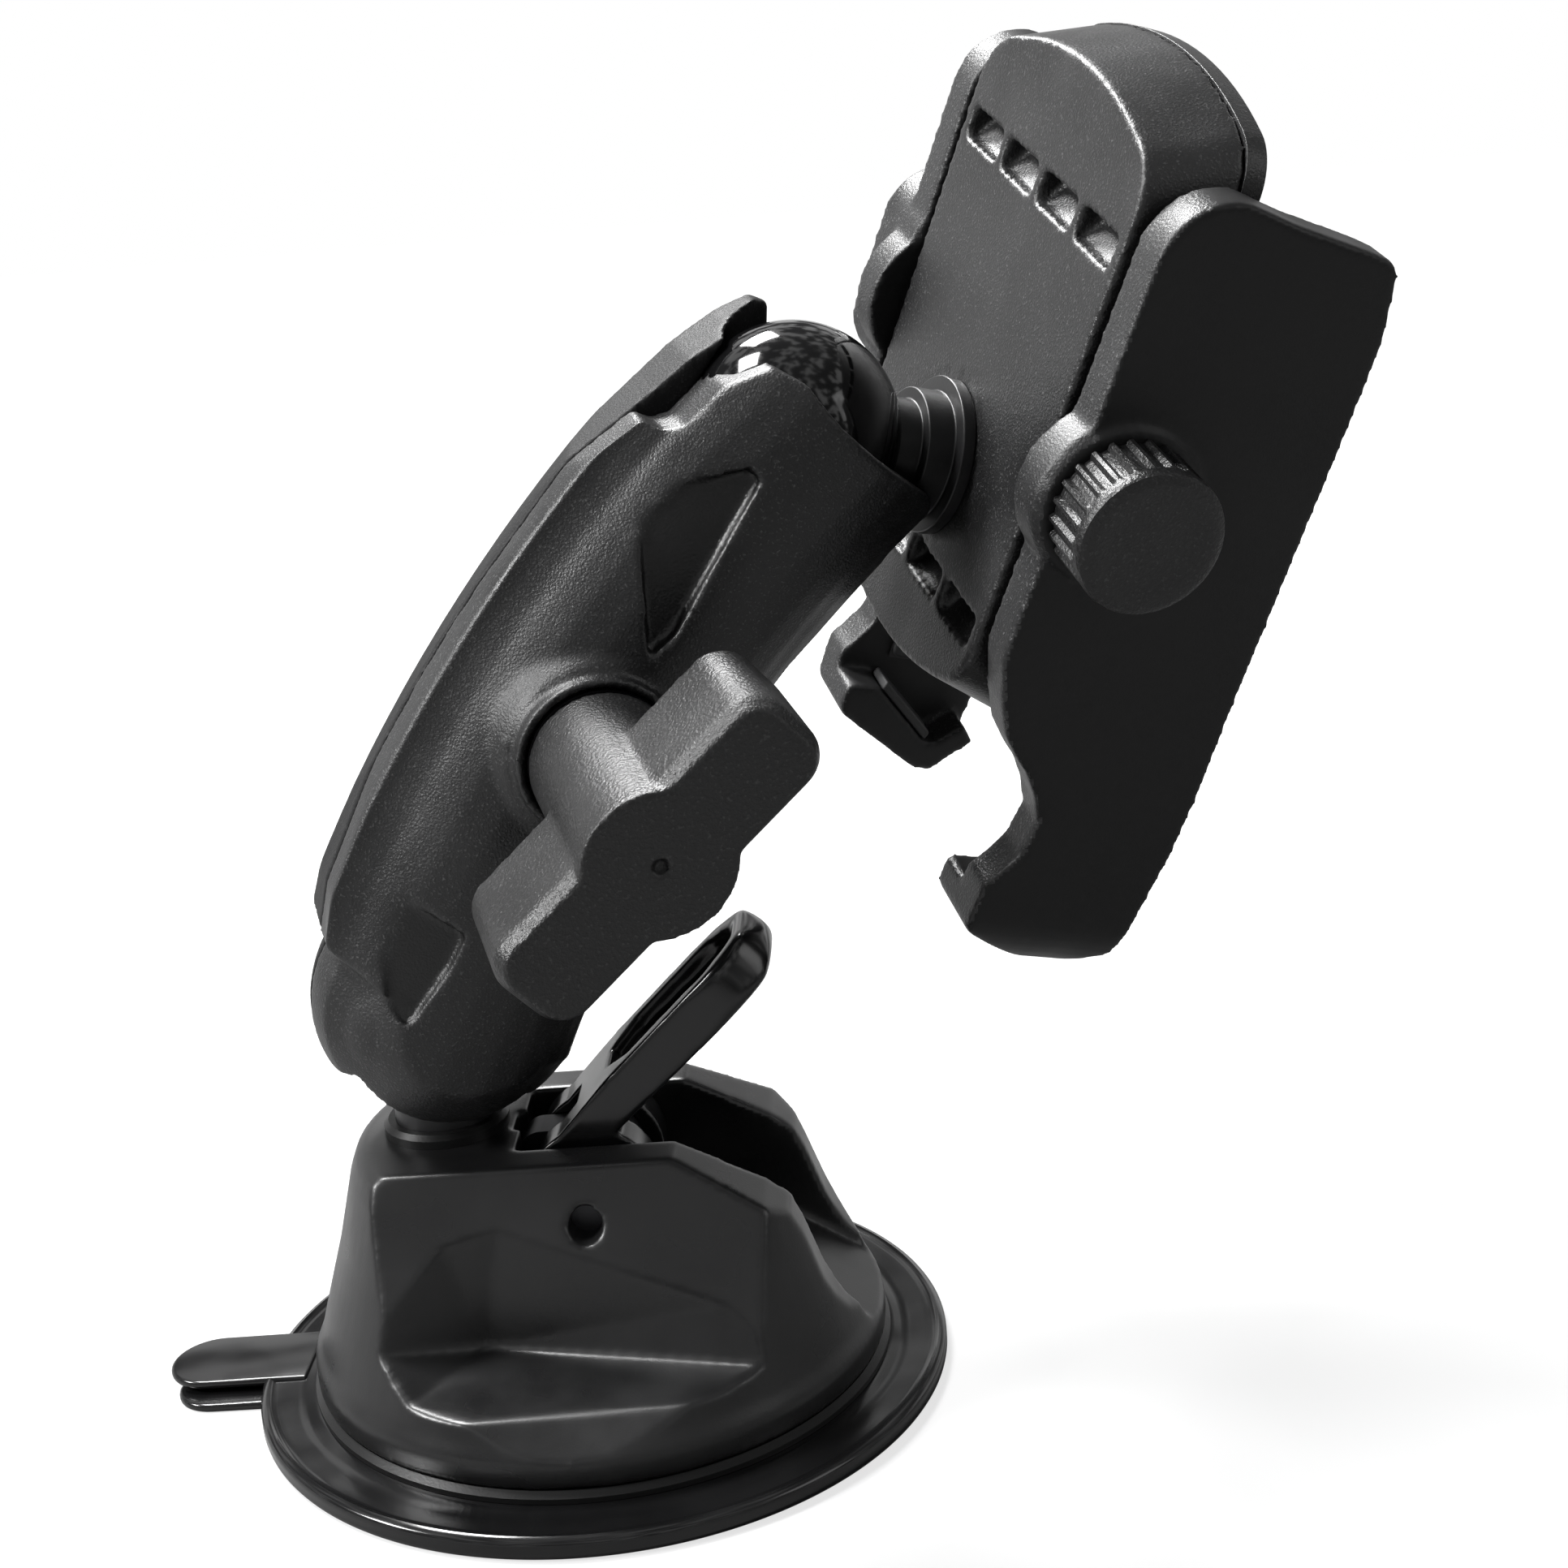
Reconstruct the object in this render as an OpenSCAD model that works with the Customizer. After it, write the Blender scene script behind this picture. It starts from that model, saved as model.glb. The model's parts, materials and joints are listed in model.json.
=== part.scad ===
// Suction cup phone holder. A cam lever draws up the middle of a suction disc, an arm of
// two clamped shells holds two balls, and one knob opens both jaws of a phone clamp.
// Origin: centre of the suction disc's underside. +X runs from the post to the lever.

/* [Suction disc] */
// Radius of the suction disc
disc_r = 43.5; // [42:0.5:50]
// Thickness of the suction disc
disc_t = 2.8; // [2.4:0.1:3.2]
// Reach of the pull tab from the disc's centre
tab_reach = 56.5; // [52:0.5:64]
// Half width of the pull tab
tab_r = 5.8; // [4:0.2:7]
// Radius of the ring between the disc and the housing
gasket_r = 36.5; // [36:0.1:38]
// Height of that ring
gasket_t = 1.3; // [1:0.1:1.6]

/* [Housing] */
// Radius of the housing's skirt
housing_r = 36; // [35:0.5:37]
// Height of the platform above the resting surface
platform_z = 34.2; // [33.5:0.1:36]
// Half width of the platform
platform_hw = 14.6; // [13.5:0.1:16]
// Width of the slot that the lever folds into
slot_w = 18; // [17.4:0.1:19]
// Distance of the ball post from the disc's centre
post_x = 16.5; // [16:0.1:17.5]

/* [Lever] */
// Height of the lever's pin
pin_z = 27.8; // [27.6:0.1:28]
// Radius of the lever's pin
pin_r = 1.95; // [1.5:0.05:2.2]
// Length of the lever from its pin
lever_l = 37; // [32:0.5:40]
// Width of the lever
lever_w = 16.5; // [15:0.1:16.8]
// Angle of the open lever above level
lever_rest = 42; // [30:1:44]
// Throw of the lever's cam
cam_e = 2.6; // [2:0.1:2.7]

/* [Balls] */
// Radius of both balls
ball_r = 12.7; // [12.4:0.1:12.8]
// Thickness of the skin on each ball
skin_t = 1.75; // [1.2:0.05:2.5]
// Height of the lower ball's centre
low_z = 51; // [50:0.5:56]
// Distance between the balls
ball_gap = 81.7; // [78:0.1:90]
// Radius of the lower ball's neck
low_neck_r = 6.2; // [5:0.1:6.4]
// Radius of the upper ball's neck
up_neck_r = 6; // [5:0.1:6.2]

/* [Arm] */
// Depth of each arm shell from the seam
shell_d = 14.2; // [13.8:0.1:16]
// Half width of the arm
arm_hw = 18.2; // [17:0.1:20]
// How far the arm bows out at its middle
bow = 4.5; // [3:0.1:6]
// Radius of the clamp bolt
bolt_r = 3; // [2.5:0.1:3.2]
// Width across the wing knob
wing_span = 41; // [34:0.5:46]
// Radius of the wing knob's hub
hub_r = 8.5; // [7.8:0.1:9]
// Height of the wing knob
knob_h = 29; // [25:0.5:33]

/* [Phone clamp] */
// Half width of the clamp body
body_hw = 23.8; // [23.6:0.1:24.2]
// Top of the clamp body above the upper ball
body_top = 52.4; // [50:0.2:54]
// Bottom of the clamp body below the upper ball
body_drop = 27; // [26:0.2:28]
// Distance from the upper ball's centre to the body's back face
body_w = 19.2; // [18.8:0.1:20]
// Depth of the clamp body
body_d = 13.3; // [13:0.1:14]
// Inner face of each closed jaw from the middle
jaw_u = 25.3; // [25.2:0.1:26]
// Thickness of each jaw
jaw_t = 5.7; // [5:0.1:7]
// Radius of the clamp's knob
dial_r = 8.4; // [7:0.1:9]
// Length of the clamp's knob
dial_l = 8.6; // [7:0.1:11]
// Number of ribs round the clamp's knob
dial_ribs = 24; // [12:1:30]

/* [Pose] */
// Turn of the arm about the post
arm_yaw = 6.1; // [0:0.1:12]
// Slope of the arm above level
arm_pitch = 52.5; // [50:0.1:60]
// Roll of the arm about its own length
arm_roll = 103.3; // [100:0.1:106]
// Turn of the phone clamp about its first axis
clamp_roll = 73; // [70:0.1:76]

/* [Hidden] */
$fn = 64;

// Clearances and one overrun for every cut
cut = 0.5;
run_gap = 0.05;
pin_gap = 0.02;
gap = 0.3;

// Turns of the phone clamp about its other two axes
clamp_pitch = 18.7;
clamp_yaw = -73.2;

// Ball centres
low_ball = [-post_x, 0, low_z];
arm_dir = [cos(arm_pitch) * cos(arm_yaw), cos(arm_pitch) * sin(arm_yaw), sin(arm_pitch)];
up_ball = low_ball + ball_gap * arm_dir;

// Heights in the base
gasket_z = disc_t;
house_z = disc_t + gasket_t;
skirt_h = 3.4;
skirt_z = house_z + skirt_h;
house_rise = platform_z - skirt_z;
cavity_r = 0.86 * housing_r;
boss_gap = 1;

// Cam, stem and spring under the lever
pin_x = 1.9;
cam_r = 5.2;
cam_gap = 0.1;
pin_sink = 3;
cam_rest = 210;
cam_slide = 0.5;
lift = 3.15;
lever_hub_r = 8;
fork_w = 5.6;
stem_plate_w = 5;
stem_wall = 1.6;
stem_neck_hw = 3.1;
shank_r = 4;
shank_top = 16.3;
seat_z = 15;
vault_top = 10.7;
guide_top = 18.2;
flange_r = 7;
flange_t = 1.6;
flange_z = 1.5;
boss_r = 9.6;
boss_roof = 1;
boss_top = flange_z + flange_t + lift + gap + boss_roof;
ring_r = 6.2;
ring_t = 1;
spring_r = 5.3;
spring_wire_r = 0.55;
spring_turns = 3.5;
cam_shift = 2.2;
cam_x = pin_x - cam_shift;
cam_z = pin_z + cam_e * sin(cam_rest);

// Lower post
post_stud_r = 4;
stud_z = 14.5;
collar_r = 7.75;
collar_h = 1.7;
collar_edge = 0.6;
post_screw_r = 1.6;
post_head_r = 3.4;
post_head_h = 1.9;
web_z = 13.1;

// Ball parts
core_r = ball_r - skin_t - run_gap;
neck_gap = 0.4;
step_r = 7.5;
step_h = 3.5;
disc_flange_r = 9.4;
disc_flange_t = 1.7;
flange_screw_u = 4.6;
flange_screw_r = 1.3;
flange_head_r = 2.2;
flange_head_h = 1.4;
flange_seat_w = 23;
flange_screw_l = 4;

// Arm
seam_gap = 0.3;
bolt_a = 40;
bolt_t = 4;
bolt_head_r = 6.5;
bolt_head_h = 2.6;
ring_boss_r = 9.8;
ring_boss_h = 1.2;
washer_r = 8.4;
washer_t = 0.9;
arm_spring_r = 4.6;
arm_spring_h = 14;
arm_spring_turns = 5;
pocket_d = 1.8;
end_round_r = 16.95;
sweep_power_share = 0.3846;
bow_r = (pow(ball_gap / 2, 2) + bow * bow) / (2 * bow);
low_fan = [-143.2, 7.8];
low_tilt = [-10, 35];
up_fan = [-70, -3.6];
up_tilt = [-12, 50];
knob_z = shell_d + ring_boss_h + gap;
insert_r = 5;
wing_d = 16;
wing_edge = 1;
insert_l = 16.8;
bolt_in = 16;
bolt_head_out = 1.4;
bolt_seat_z = bolt_head_h - bolt_head_out - shell_d;
wing_t = 12.6;
wing_turn = -12;

// Phone clamp
back_wall = 5.6;
cover_t = 2.5;
seam_w = body_w + body_d - cover_t;
body_arc_r = 60;
body_corner_r = 6.5;
end_in = 3.9;
axle_in = 2;
cover_screw_r = 1.1;
cover_head_r = 2.2;
cover_head_h = 1;
cover_screw_l = 4;
cover_spot_u = 18;
cover_spot_in = 8;
cover_spots = [for (u = [-1, 1] * cover_spot_u, v = [body_top - cover_spot_in, cover_spot_in - body_drop]) [u, v]];
pad_t = 1;
screw_v = 10;
screw_w = 25.7;
lead_r = 2.5;
screw_in = -2.2;
nut_u = 15;
nut_l = 7;
nut_hw = 3.5;
tube_r = 3.6;
tube_in = -2.5;
bush_r = 4.25;
bush_u = 16;
bush_l = 6.5;
thrust_r = 6;
thrust_t = 0.6;
screw_out = 6;
ring_groove = 1;
rack_v = 26;
rack_end = 22.3;
rack_w = 25.2;
rack_d = 4;
rack_h = 4;
teeth = 10;
tooth_module = 1;
pitch_r = teeth * tooth_module / 2;
tooth_w = 1.15;
tip_w = 0.62;
root_w = 1.7;
addendum = 0.8;
dedendum = 1.1;
axle_r = 1.45;
guide_h = 4;
right_guide_v = -8;
left_guide_v = -14;
guide_end = 19;
vent_pitch = 11.3;
vent_w = 9.5;
vent_h = 3.7;
vent_d = 3.6;
vent_rows = [32.3, -13.75];
seat_r = 9.3;
seat_h = 0.9;
clip_t = 0.8;
clip_r = 4;
shelf_u = 20;
corner_r = 10.7;
lip_u = 22.3;
lump_r = 7;
lump_u = 37;
lump_v = [5, 17.5];
cap_r = 4.8;
cap_u = 41;
jaw_l = 100;

// Point helpers
function turned(r, a) = [r * cos(a), r * sin(a)];
function arc(c, r, a0, a1, n = 8) = [for (i = [0 : n]) c + turned(r, a0 + (a1 - a0) * i / n)];
function swap(points) = [for (p = points) [p[1], p[0]]];

// Straight extrusions and rods along X or Y
module along_x(x0, x1) { translate([x0, 0, 0]) rotate([90, 0, 90]) linear_extrude(x1 - x0) children(); }
module along_y(y0, y1) { translate([0, y1, 0]) rotate([90, 0, 0]) linear_extrude(y1 - y0) children(); }
module rod_x(r, x0, x1) { translate([x0, 0, 0]) rotate([0, 90, 0]) cylinder(r = r, h = x1 - x0); }
module rod_y(r, y0, y1) { translate([0, y1, 0]) rotate([90, 0, 0]) cylinder(r = r, h = y1 - y0); }
module rod_z(r, z0, z1) { translate([0, 0, z0]) cylinder(r = r, h = z1 - z0); }
module box(low, high) { translate(low) cube(high - low); }
module ring_z(r0, r1, z0, z1) { translate([0, 0, z0]) difference() {
    cylinder(r = r1, h = z1 - z0);
    translate([0, 0, -cut]) cylinder(r = r0, h = z1 - z0 + 2 * cut); } }
module tube_x(r0, r1, x0, x1) { difference() { rod_x(r1, x0, x1); rod_x(r0, x0 - cut, x1 + cut); } }
module rounded(size, r) { translate([-size[0] / 2, -size[1] / 2]) {
    translate([r, 0]) square([size[0] - 2 * r, size[1]]);
    translate([0, r]) square([size[0], size[1] - 2 * r]);
    for (x = [r, size[0] - r], y = [r, size[1] - r]) translate([x, y]) circle(r = r); } }

// Unbroken wire wound on a cylinder, with flat turns at both ends
module coil(r, wire, height, turns) {
    rings = ceil(turns * 10);
    sides = 6;
    rise = height - 2 * wire;
    points = [for (i = [0 : rings], k = [0 : sides - 1]) let (a = 360 * turns * i / rings,
        s = i / rings, q = r + wire * cos(360 * k / sides))
        [q * cos(a), q * sin(a), wire + rise * s + wire * sin(360 * k / sides)]];
    sides_faces = [for (i = [0 : rings - 1], k = [0 : sides - 1], h = [0, 1]) let (n = (k + 1) % sides,
        p = i * sides) h == 0 ? [p + k, p + n, p + sides + n] : [p + k, p + sides + n, p + sides + k]];
    ends = [for (k = [1 : sides - 2]) [0, k + 1, k], for (k = [1 : sides - 2])
        [rings * sides, rings * sides + k, rings * sides + k + 1]];
    polyhedron(points = points, faces = concat([for (f = sides_faces) [f[0], f[2], f[1]]],
        [for (f = ends) [f[0], f[2], f[1]]]));
}

// Placing frames
module in_lever() { translate([pin_x, 0, pin_z]) rotate([0, -lever_rest, 0]) children(); }
module in_arm() { translate(low_ball) rotate([arm_roll, -arm_pitch, arm_yaw]) children(); }
module in_clamp() { translate(up_ball) rotate([clamp_roll, clamp_pitch, clamp_yaw]) children(); }
module at_screw() { translate([0, screw_v, -screw_w]) children(); }

module suction_disc() color([0.03, 0.03, 0.03]) difference() {
    edge = 1.1;
    lower_r = 5.2;
    union() {
        rotate_extrude() polygon(concat([[0, 0], [disc_r - edge, 0]],
            arc([disc_r - edge, edge], edge, -90, 0, 4), arc([disc_r - edge, disc_t - edge], edge, 0, 90, 4),
            [[0, disc_t]]));
        rod_z(boss_r, 0, boss_top);
        translate([-tab_reach + tab_r, tab_r / 4, disc_t - edge]) cylinder(r = tab_r, h = edge);
        box([-tab_reach + tab_r, tab_r / 4 - tab_r, disc_t - edge], [-disc_r + tab_r, tab_r / 4 + tab_r, disc_t]);
        translate([-tab_reach + tab_r + edge, -tab_r / 3, 0]) cylinder(r = lower_r, h = edge);
        box([-tab_reach + tab_r + edge, -tab_r / 3 - lower_r, 0], [-disc_r + tab_r, lower_r - tab_r / 3, edge]);
    }
    rod_z(flange_r + gap, flange_z - gap, boss_top - boss_roof);
    rod_z(shank_r + gap, flange_z, boss_top + cut);
}

module base_gasket() color([0.05, 0.05, 0.05]) difference() {
    rotate_extrude() polygon([[0, gasket_z], [gasket_r, gasket_z], [gasket_r, gasket_z + gasket_t / 2],
        [housing_r - gap, house_z], [0, house_z]]);
    rod_z(cavity_r, gasket_z - cut, house_z + cut);
}

// Side view of the housing: platform, then cheeks that fall to the skirt. Heights and
// lengths are shares of the housing's rise and of its skirt radius.
cheek_shares = [[0.347, 1], [0.639, 0.79], [0.717, 0.71], [0.756, 0.59], [0.814, 0.355], [0.847, 0.262],
    [0.889, 0.17], [0.953, 0.094], [1, 0]];
round_shares = [[1, 0], [0.972, 0.075], [0.933, 0.243], [0.861, 0.543], [0.794, 0.88], [0.767, 0.97],
    [0.733, 1]];
flank_shares = [[1, 0], [0.76, 0.176], [0.54, 0.213], [0.26, 0.618], [0, 1]];
vault_shares = [[1, 0.183], [0.814, 0.33], [0.523, 0.514]];
scoop_rim_shares = [[-0.7, 0.33], [-0.42, 0.72], [-0.24, 0.77], [0.14, 0.6], [0.51, 0.43], [0.68, 0.2],
    [0.33, 0.176], [-0.5, 0.16]];
scoop_deep_share = [-0.317, 0.506, 0.206];
scoop_reach_share = 3;
flank_slope_share = 0.55;

function at_rise(share) = skirt_z + share * house_rise;
function flank_y(z) = platform_hw + (platform_z - z) * flank_slope_share;

module housing_outer() {
    left = [[-housing_r - cut, house_z], [-housing_r - cut, platform_z]];
    cheek = [for (s = cheek_shares) [s[0] * housing_r, at_rise(s[1])]];
    flank = [for (s = flank_shares) [platform_hw + s[0] * (housing_r - platform_hw), at_rise(s[1])]];
    rod_z(housing_r, house_z, skirt_z);
    intersection() {
        rotate_extrude($fn = 96) polygon(concat([[0, house_z]], [for (s = round_shares) [s[0] * housing_r, at_rise(s[1])]],
            [[0, platform_z]]));
        along_y(-housing_r, housing_r) polygon(concat(left, cheek, [[housing_r, house_z]]));
        along_x(-housing_r, housing_r) polygon(concat([[housing_r, house_z]], flank,
            [for (i = [len(flank) - 1 : -1 : 0]) [-flank[i][0], flank[i][1]]], [[-housing_r, house_z]]));
    }
}

// One grip scoop: a hollow of flat facets that meet at its deepest point
module scoop() {
    speck = cut / 10;
    deep = [scoop_deep_share[0] * housing_r, scoop_deep_share[1] * housing_r, at_rise(scoop_deep_share[2])];
    hull() {
        translate(deep) cube(speck, center = true);
        for (s = scoop_rim_shares) {
            z = at_rise(s[1]);
            rim = [s[0] * housing_r, flank_y(z), z];
            translate(deep + scoop_reach_share * (rim - deep)) cube(speck, center = true);
        }
    }
}

module base_housing() color([0.06, 0.06, 0.06]) difference() {
    floor_rise = 1.8;
    floor_angle = 33;
    floor_slope = tan(floor_angle);
    slot_x = 7;
    slot_end = housing_r + cut;
    plate_hw = cam_r + cam_gap + cam_slide + stem_wall;
    union() {
        difference() {
            housing_outer();
            along_y(-slot_w / 2, slot_w / 2) polygon([[-slot_x, pin_z], [pin_x + floor_rise / floor_slope, pin_z],
                [slot_end, pin_z + floor_rise - floor_slope * (slot_end - pin_x)], [slot_end, platform_z + slot_end],
                [-slot_x, platform_z + slot_end]]);
        }
        translate([pin_x, 0, pin_z]) rotate([0, floor_angle, 0]) box([lever_l / 3, -cut, -slot_x / 4],
            [lever_l / 1.6, cut, floor_rise * 1.3]);
    }
    translate([pin_x, 0, pin_z]) rod_y(lever_hub_r + 2 * gap, -slot_w / 2, slot_w / 2);
    box([cam_x - plate_hw - gap, -stem_plate_w / 2 - gap, guide_top],
        [cam_x + plate_hw + gap, stem_plate_w / 2 + gap, platform_z + cut]);
    rod_z(shank_r + run_gap, seat_z - cut, shank_top + lift + gap);
    rotate_extrude() polygon(concat([[0, house_z - cut], [cavity_r, house_z - cut]],
        [for (s = vault_shares) [s[0] * cavity_r, house_z + s[1] * (seat_z - house_z)]],
        [[boss_r + boss_gap, vault_top], [boss_r + boss_gap, seat_z], [0, seat_z]]));
    translate([pin_x, 0, pin_z]) rod_y(pin_r + pin_gap, -housing_r, housing_r);
    translate([-post_x, 0, 0]) {
        rod_z(post_stud_r + pin_gap, stud_z - gap, platform_z + cut);
        rod_z(post_screw_r + gap / 2, house_z, stud_z);
        rod_z(post_head_r + gap, house_z, web_z);
    }
    for (side = [0, 1]) mirror([0, side, 0]) scoop();
}

module lever_pin() color([0.5, 0.5, 0.52]) translate([pin_x, 0, pin_z])
    rod_y(pin_r, pin_sink - flank_y(pin_z), flank_y(pin_z) - pin_sink);

// Side view of the lever's handle as shares of its length
lever_shares = [[0.04, 0.081], [0.92, 0.081], [0.985, 0.122], [1, 0.185], [0.96, 0.25], [0.32, 0.232],
    [0.16, 0.218], [0, 0.205]];
tray_shares = [[0.3, -0.16], [0.42, -0.34], [0.78, -0.34], [0.9, -0.16], [0.9, 0.16], [0.78, 0.34], [0.42, 0.34],
    [0.3, 0.16]];

module cam_lever() color([0.02, 0.02, 0.02]) in_lever() {
    tip_r = lever_w / 2;
    tray_top = 0.25 * lever_l;
    tray_d = 2.6;
    hub_cut = 1.4;
    difference() {
        union() {
            rod_y(lever_hub_r, -lever_w / 2, lever_w / 2);
            intersection() {
                along_y(-lever_w / 2, lever_w / 2) polygon([for (s = lever_shares) s * lever_l]);
                union() {
                    translate([lever_l - tip_r, 0, 0]) cylinder(r = tip_r, h = lever_l / 2);
                    box([0, -lever_w / 2, 0], [lever_l - tip_r, lever_w / 2, lever_l / 2]);
                }
            }
        }
        translate([0, 0, tray_top - tray_d]) linear_extrude(tray_d + cut)
            polygon([for (s = tray_shares) [s[0] * lever_l, s[1] * lever_w]]);
        rod_y(lever_hub_r + hub_cut, -fork_w / 2, fork_w / 2);
        rod_y(pin_r + run_gap, -lever_w, lever_w);
    }
    difference() {
        translate([cam_e * cos(cam_rest - lever_rest), 0, cam_e * sin(cam_rest - lever_rest)])
            rod_y(cam_r, -fork_w / 2 - pin_gap, fork_w / 2 + pin_gap);
        rod_y(pin_r + run_gap, -lever_w, lever_w);
    }
}

module disc_stem() color([0.45, 0.45, 0.47]) {
    window_r = cam_r + cam_gap;
    plate_hw = window_r + cam_slide + stem_wall;
    plate_hh = window_r + stem_wall;
    plate_corner = 3;
    along_y(-stem_plate_w / 2, stem_plate_w / 2) difference() {
        union() {
            translate([cam_x, cam_z]) rounded([2 * plate_hw, 2 * plate_hh], plate_corner);
            translate([-stem_neck_hw, shank_top - cut]) square([2 * stem_neck_hw, cam_z - window_r - shank_top]);
        }
        for (side = [-1, 1]) translate([cam_x + side * cam_slide, cam_z]) circle(r = window_r);
        translate([cam_x - cam_slide, cam_z - window_r]) square([2 * cam_slide, 2 * window_r]);
    }
    rod_z(shank_r, flange_z, shank_top);
    rod_z(flange_r, flange_z, flange_z + flange_t);
    rod_z(ring_r, boss_top + gap, boss_top + gap + ring_t);
}

module return_spring() color([0.7, 0.7, 0.72]) translate([0, 0, boss_top + gap + ring_t + pin_gap])
    coil(spring_r, spring_wire_r, seat_z - boss_top - gap - ring_t - 2 * pin_gap, spring_turns);

module lower_ball_stud() color([0.35, 0.35, 0.36]) translate(low_ball) difference() {
    union() {
        sphere(r = core_r);
        rod_z(low_neck_r, platform_z - low_z, 0);
        rod_z(post_stud_r, stud_z - low_z, 0);
    }
    rod_z(post_screw_r, stud_z - low_z - cut, 0);
}

module post_collar() color([0.07, 0.07, 0.07]) translate([-post_x, 0, platform_z]) rotate_extrude() polygon([
    [low_neck_r + run_gap, 0], [collar_r, 0], [collar_r, collar_h - collar_edge],
    [collar_r - collar_edge, collar_h], [low_neck_r + run_gap, collar_h]]);

module post_screw() color([0.6, 0.6, 0.62]) translate([-post_x, 0, 0]) {
    rod_z(post_screw_r - pin_gap, web_z - cut, low_z - core_r);
    rod_z(post_head_r, web_z - post_head_h, web_z);
}

module ball_cover(neck_r) difference() {
    sphere(r = ball_r);
    sphere(r = ball_r - skin_t);
    rod_z(neck_r + neck_gap, -2 * ball_r, 0);
}

module lower_ball_cover() color([0.02, 0.02, 0.02]) translate(low_ball) ball_cover(low_neck_r);

// Section of the arm across its length: a flat-topped oval that a share sets
function section_half(n = 14) = [for (i = [0 : n]) let (a = 180 * i / n)
    [arm_hw * sign(cos(a)) * pow(abs(cos(a)), 2 * sweep_power_share),
     shell_d * pow(abs(sin(a)), 2 * sweep_power_share)]];

// Outline of the arm seen along the bolt, as shares of the distance between the balls
left_shares = [[-0.17, 0.016], [-0.168, 0.059], [-0.147, 0.111], [-0.1, 0.15], [-0.04, 0.18], [0.045, 0.212],
    [0.098, 0.235], [0.4, 0.29], [0.8, 0.26], [0.909, 0.22]];
front_end_shares = [[0.914, 0.192], [0.935, 0.174], [0.97, 0.166], [1.009, 0.157], [1.067, 0.12], [1.072, 0.072],
    [1.061, 0.044], [1.048, 0], [1.038, -0.066], [1.033, -0.129], [1.03, -0.19]];
rear_end_shares = [[0.95, 0.205], [1.01, 0.185], [1.08, 0.15], [1.125, 0.115], [1.13, 0.085], [1.07, 0.04],
    [1.048, 0], [1.038, -0.066], [1.033, -0.129], [1.03, -0.19]];
right_shares = [[1.011, -0.212], [0.951, -0.217], [0.875, -0.195], [0.79, -0.174], [0.711, -0.155],
    [0.638, -0.153], [0.35, -0.172], [0.103, -0.192], [0.044, -0.209], [-0.003, -0.224], [-0.036, -0.222],
    [-0.076, -0.202], [-0.108, -0.174], [-0.165, -0.034]];

// Hollows inside each shell, on both sides of the bolt
hollow_shares = [[0.2, 0.38], [0.6, 0.8]];
end_c_share = [0.0245, -0.0184, -0.0147];

// Limit of a shell's lower end, which rounds off round the ball
module arm_end() {
    translate(end_c_share * ball_gap) sphere(r = end_round_r, $fn = 96);
    box([end_c_share[0] * ball_gap, -2 * arm_hw, -cut], [2 * ball_gap, 2 * arm_hw, 2 * shell_d]);
}

module arm_sweep() translate([ball_gap / 2, bow - bow_r, 0]) {
    half = asin((0.75 * ball_gap) / bow_r);
    rotate([0, 0, 90 - half]) rotate_extrude(angle = 2 * half, $fn = 180)
        polygon([for (p = section_half()) p + [bow_r, 0]]);
}

// Space that a neck sweeps as its ball turns in the arm
module fan(aim, tilt, hw, extra) {
    reach = 2 * ball_r;
    start = aim[0] - tilt[1] - extra;
    span = tilt[1] - tilt[0] + 2 * extra;
    rise = tan(aim[1]);
    rotate([0, 0, start]) rotate_extrude(angle = span) polygon([[0, -hw], [reach, reach * rise - hw],
        [reach, reach * rise + hw], [0, hw]]);
}

module arm_shell(end_shares, flip) {
    extra = 30;
    inner = 2.4;
    difference() {
        intersection() {
            arm_sweep();
            arm_end();
            translate([0, 0, seam_gap / 2]) linear_extrude(shell_d) polygon([for (s = concat(left_shares,
                end_shares, right_shares)) s * ball_gap]);
        }
        rotate([0, 90, 0]) sphere(r = ball_r + run_gap, $fn = 96);
        translate([ball_gap, 0, 0]) rotate([0, 90, 0]) sphere(r = ball_r + run_gap, $fn = 96);
        rod_x(ball_r + run_gap, ball_gap, 2 * ball_gap, $fn = 96);
        mirror([0, 0, flip]) {
            fan(low_fan, low_tilt, low_neck_r + 2 * gap, extra);
            translate([ball_gap, 0, 0]) fan(up_fan, [-up_tilt[1], -up_tilt[0]], step_r + 2 * gap, extra);
        }
        for (a = hollow_shares) translate([0, bow - arm_hw / 2, 0])
            box([a[0] * ball_gap, 0, -cut], [a[1] * ball_gap, arm_hw, shell_d - 2 * inner]);
        translate([bolt_a, bolt_t, 0]) {
            rod_z(bolt_r + run_gap, -cut, 2 * shell_d);
            rod_z(arm_spring_r + 2 * gap + spring_wire_r, -cut, arm_spring_h / 2 + gap);
        }
    }
}

upper_pocket_shares = [[0.796, 0.165], [0.874, 0.142], [0.938, 0.083], [0.931, 0.062], [0.8, 0.056], [0.69, 0.049],
    [0.643, 0.064], [0.747, 0.136]];
lower_pocket_shares = [[0.168, 0.16], [0.073, 0.147], [0.01, 0.1], [0.004, 0.07], [0.021, 0.065], [0.115, 0.062],
    [0.169, 0.069]];

module arm_front_shell() color([0.05, 0.05, 0.05]) in_arm() {
    difference() {
        arm_shell(front_end_shares, 0);
        for (pocket = [upper_pocket_shares, lower_pocket_shares]) translate([0, 0, shell_d - pocket_d])
            linear_extrude(pocket_d + cut) polygon([for (s = pocket) s * ball_gap]);
    }
    translate([bolt_a, bolt_t, 0]) ring_z(washer_r + gap, ring_boss_r, shell_d - ring_boss_h, shell_d + ring_boss_h);
}

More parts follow.
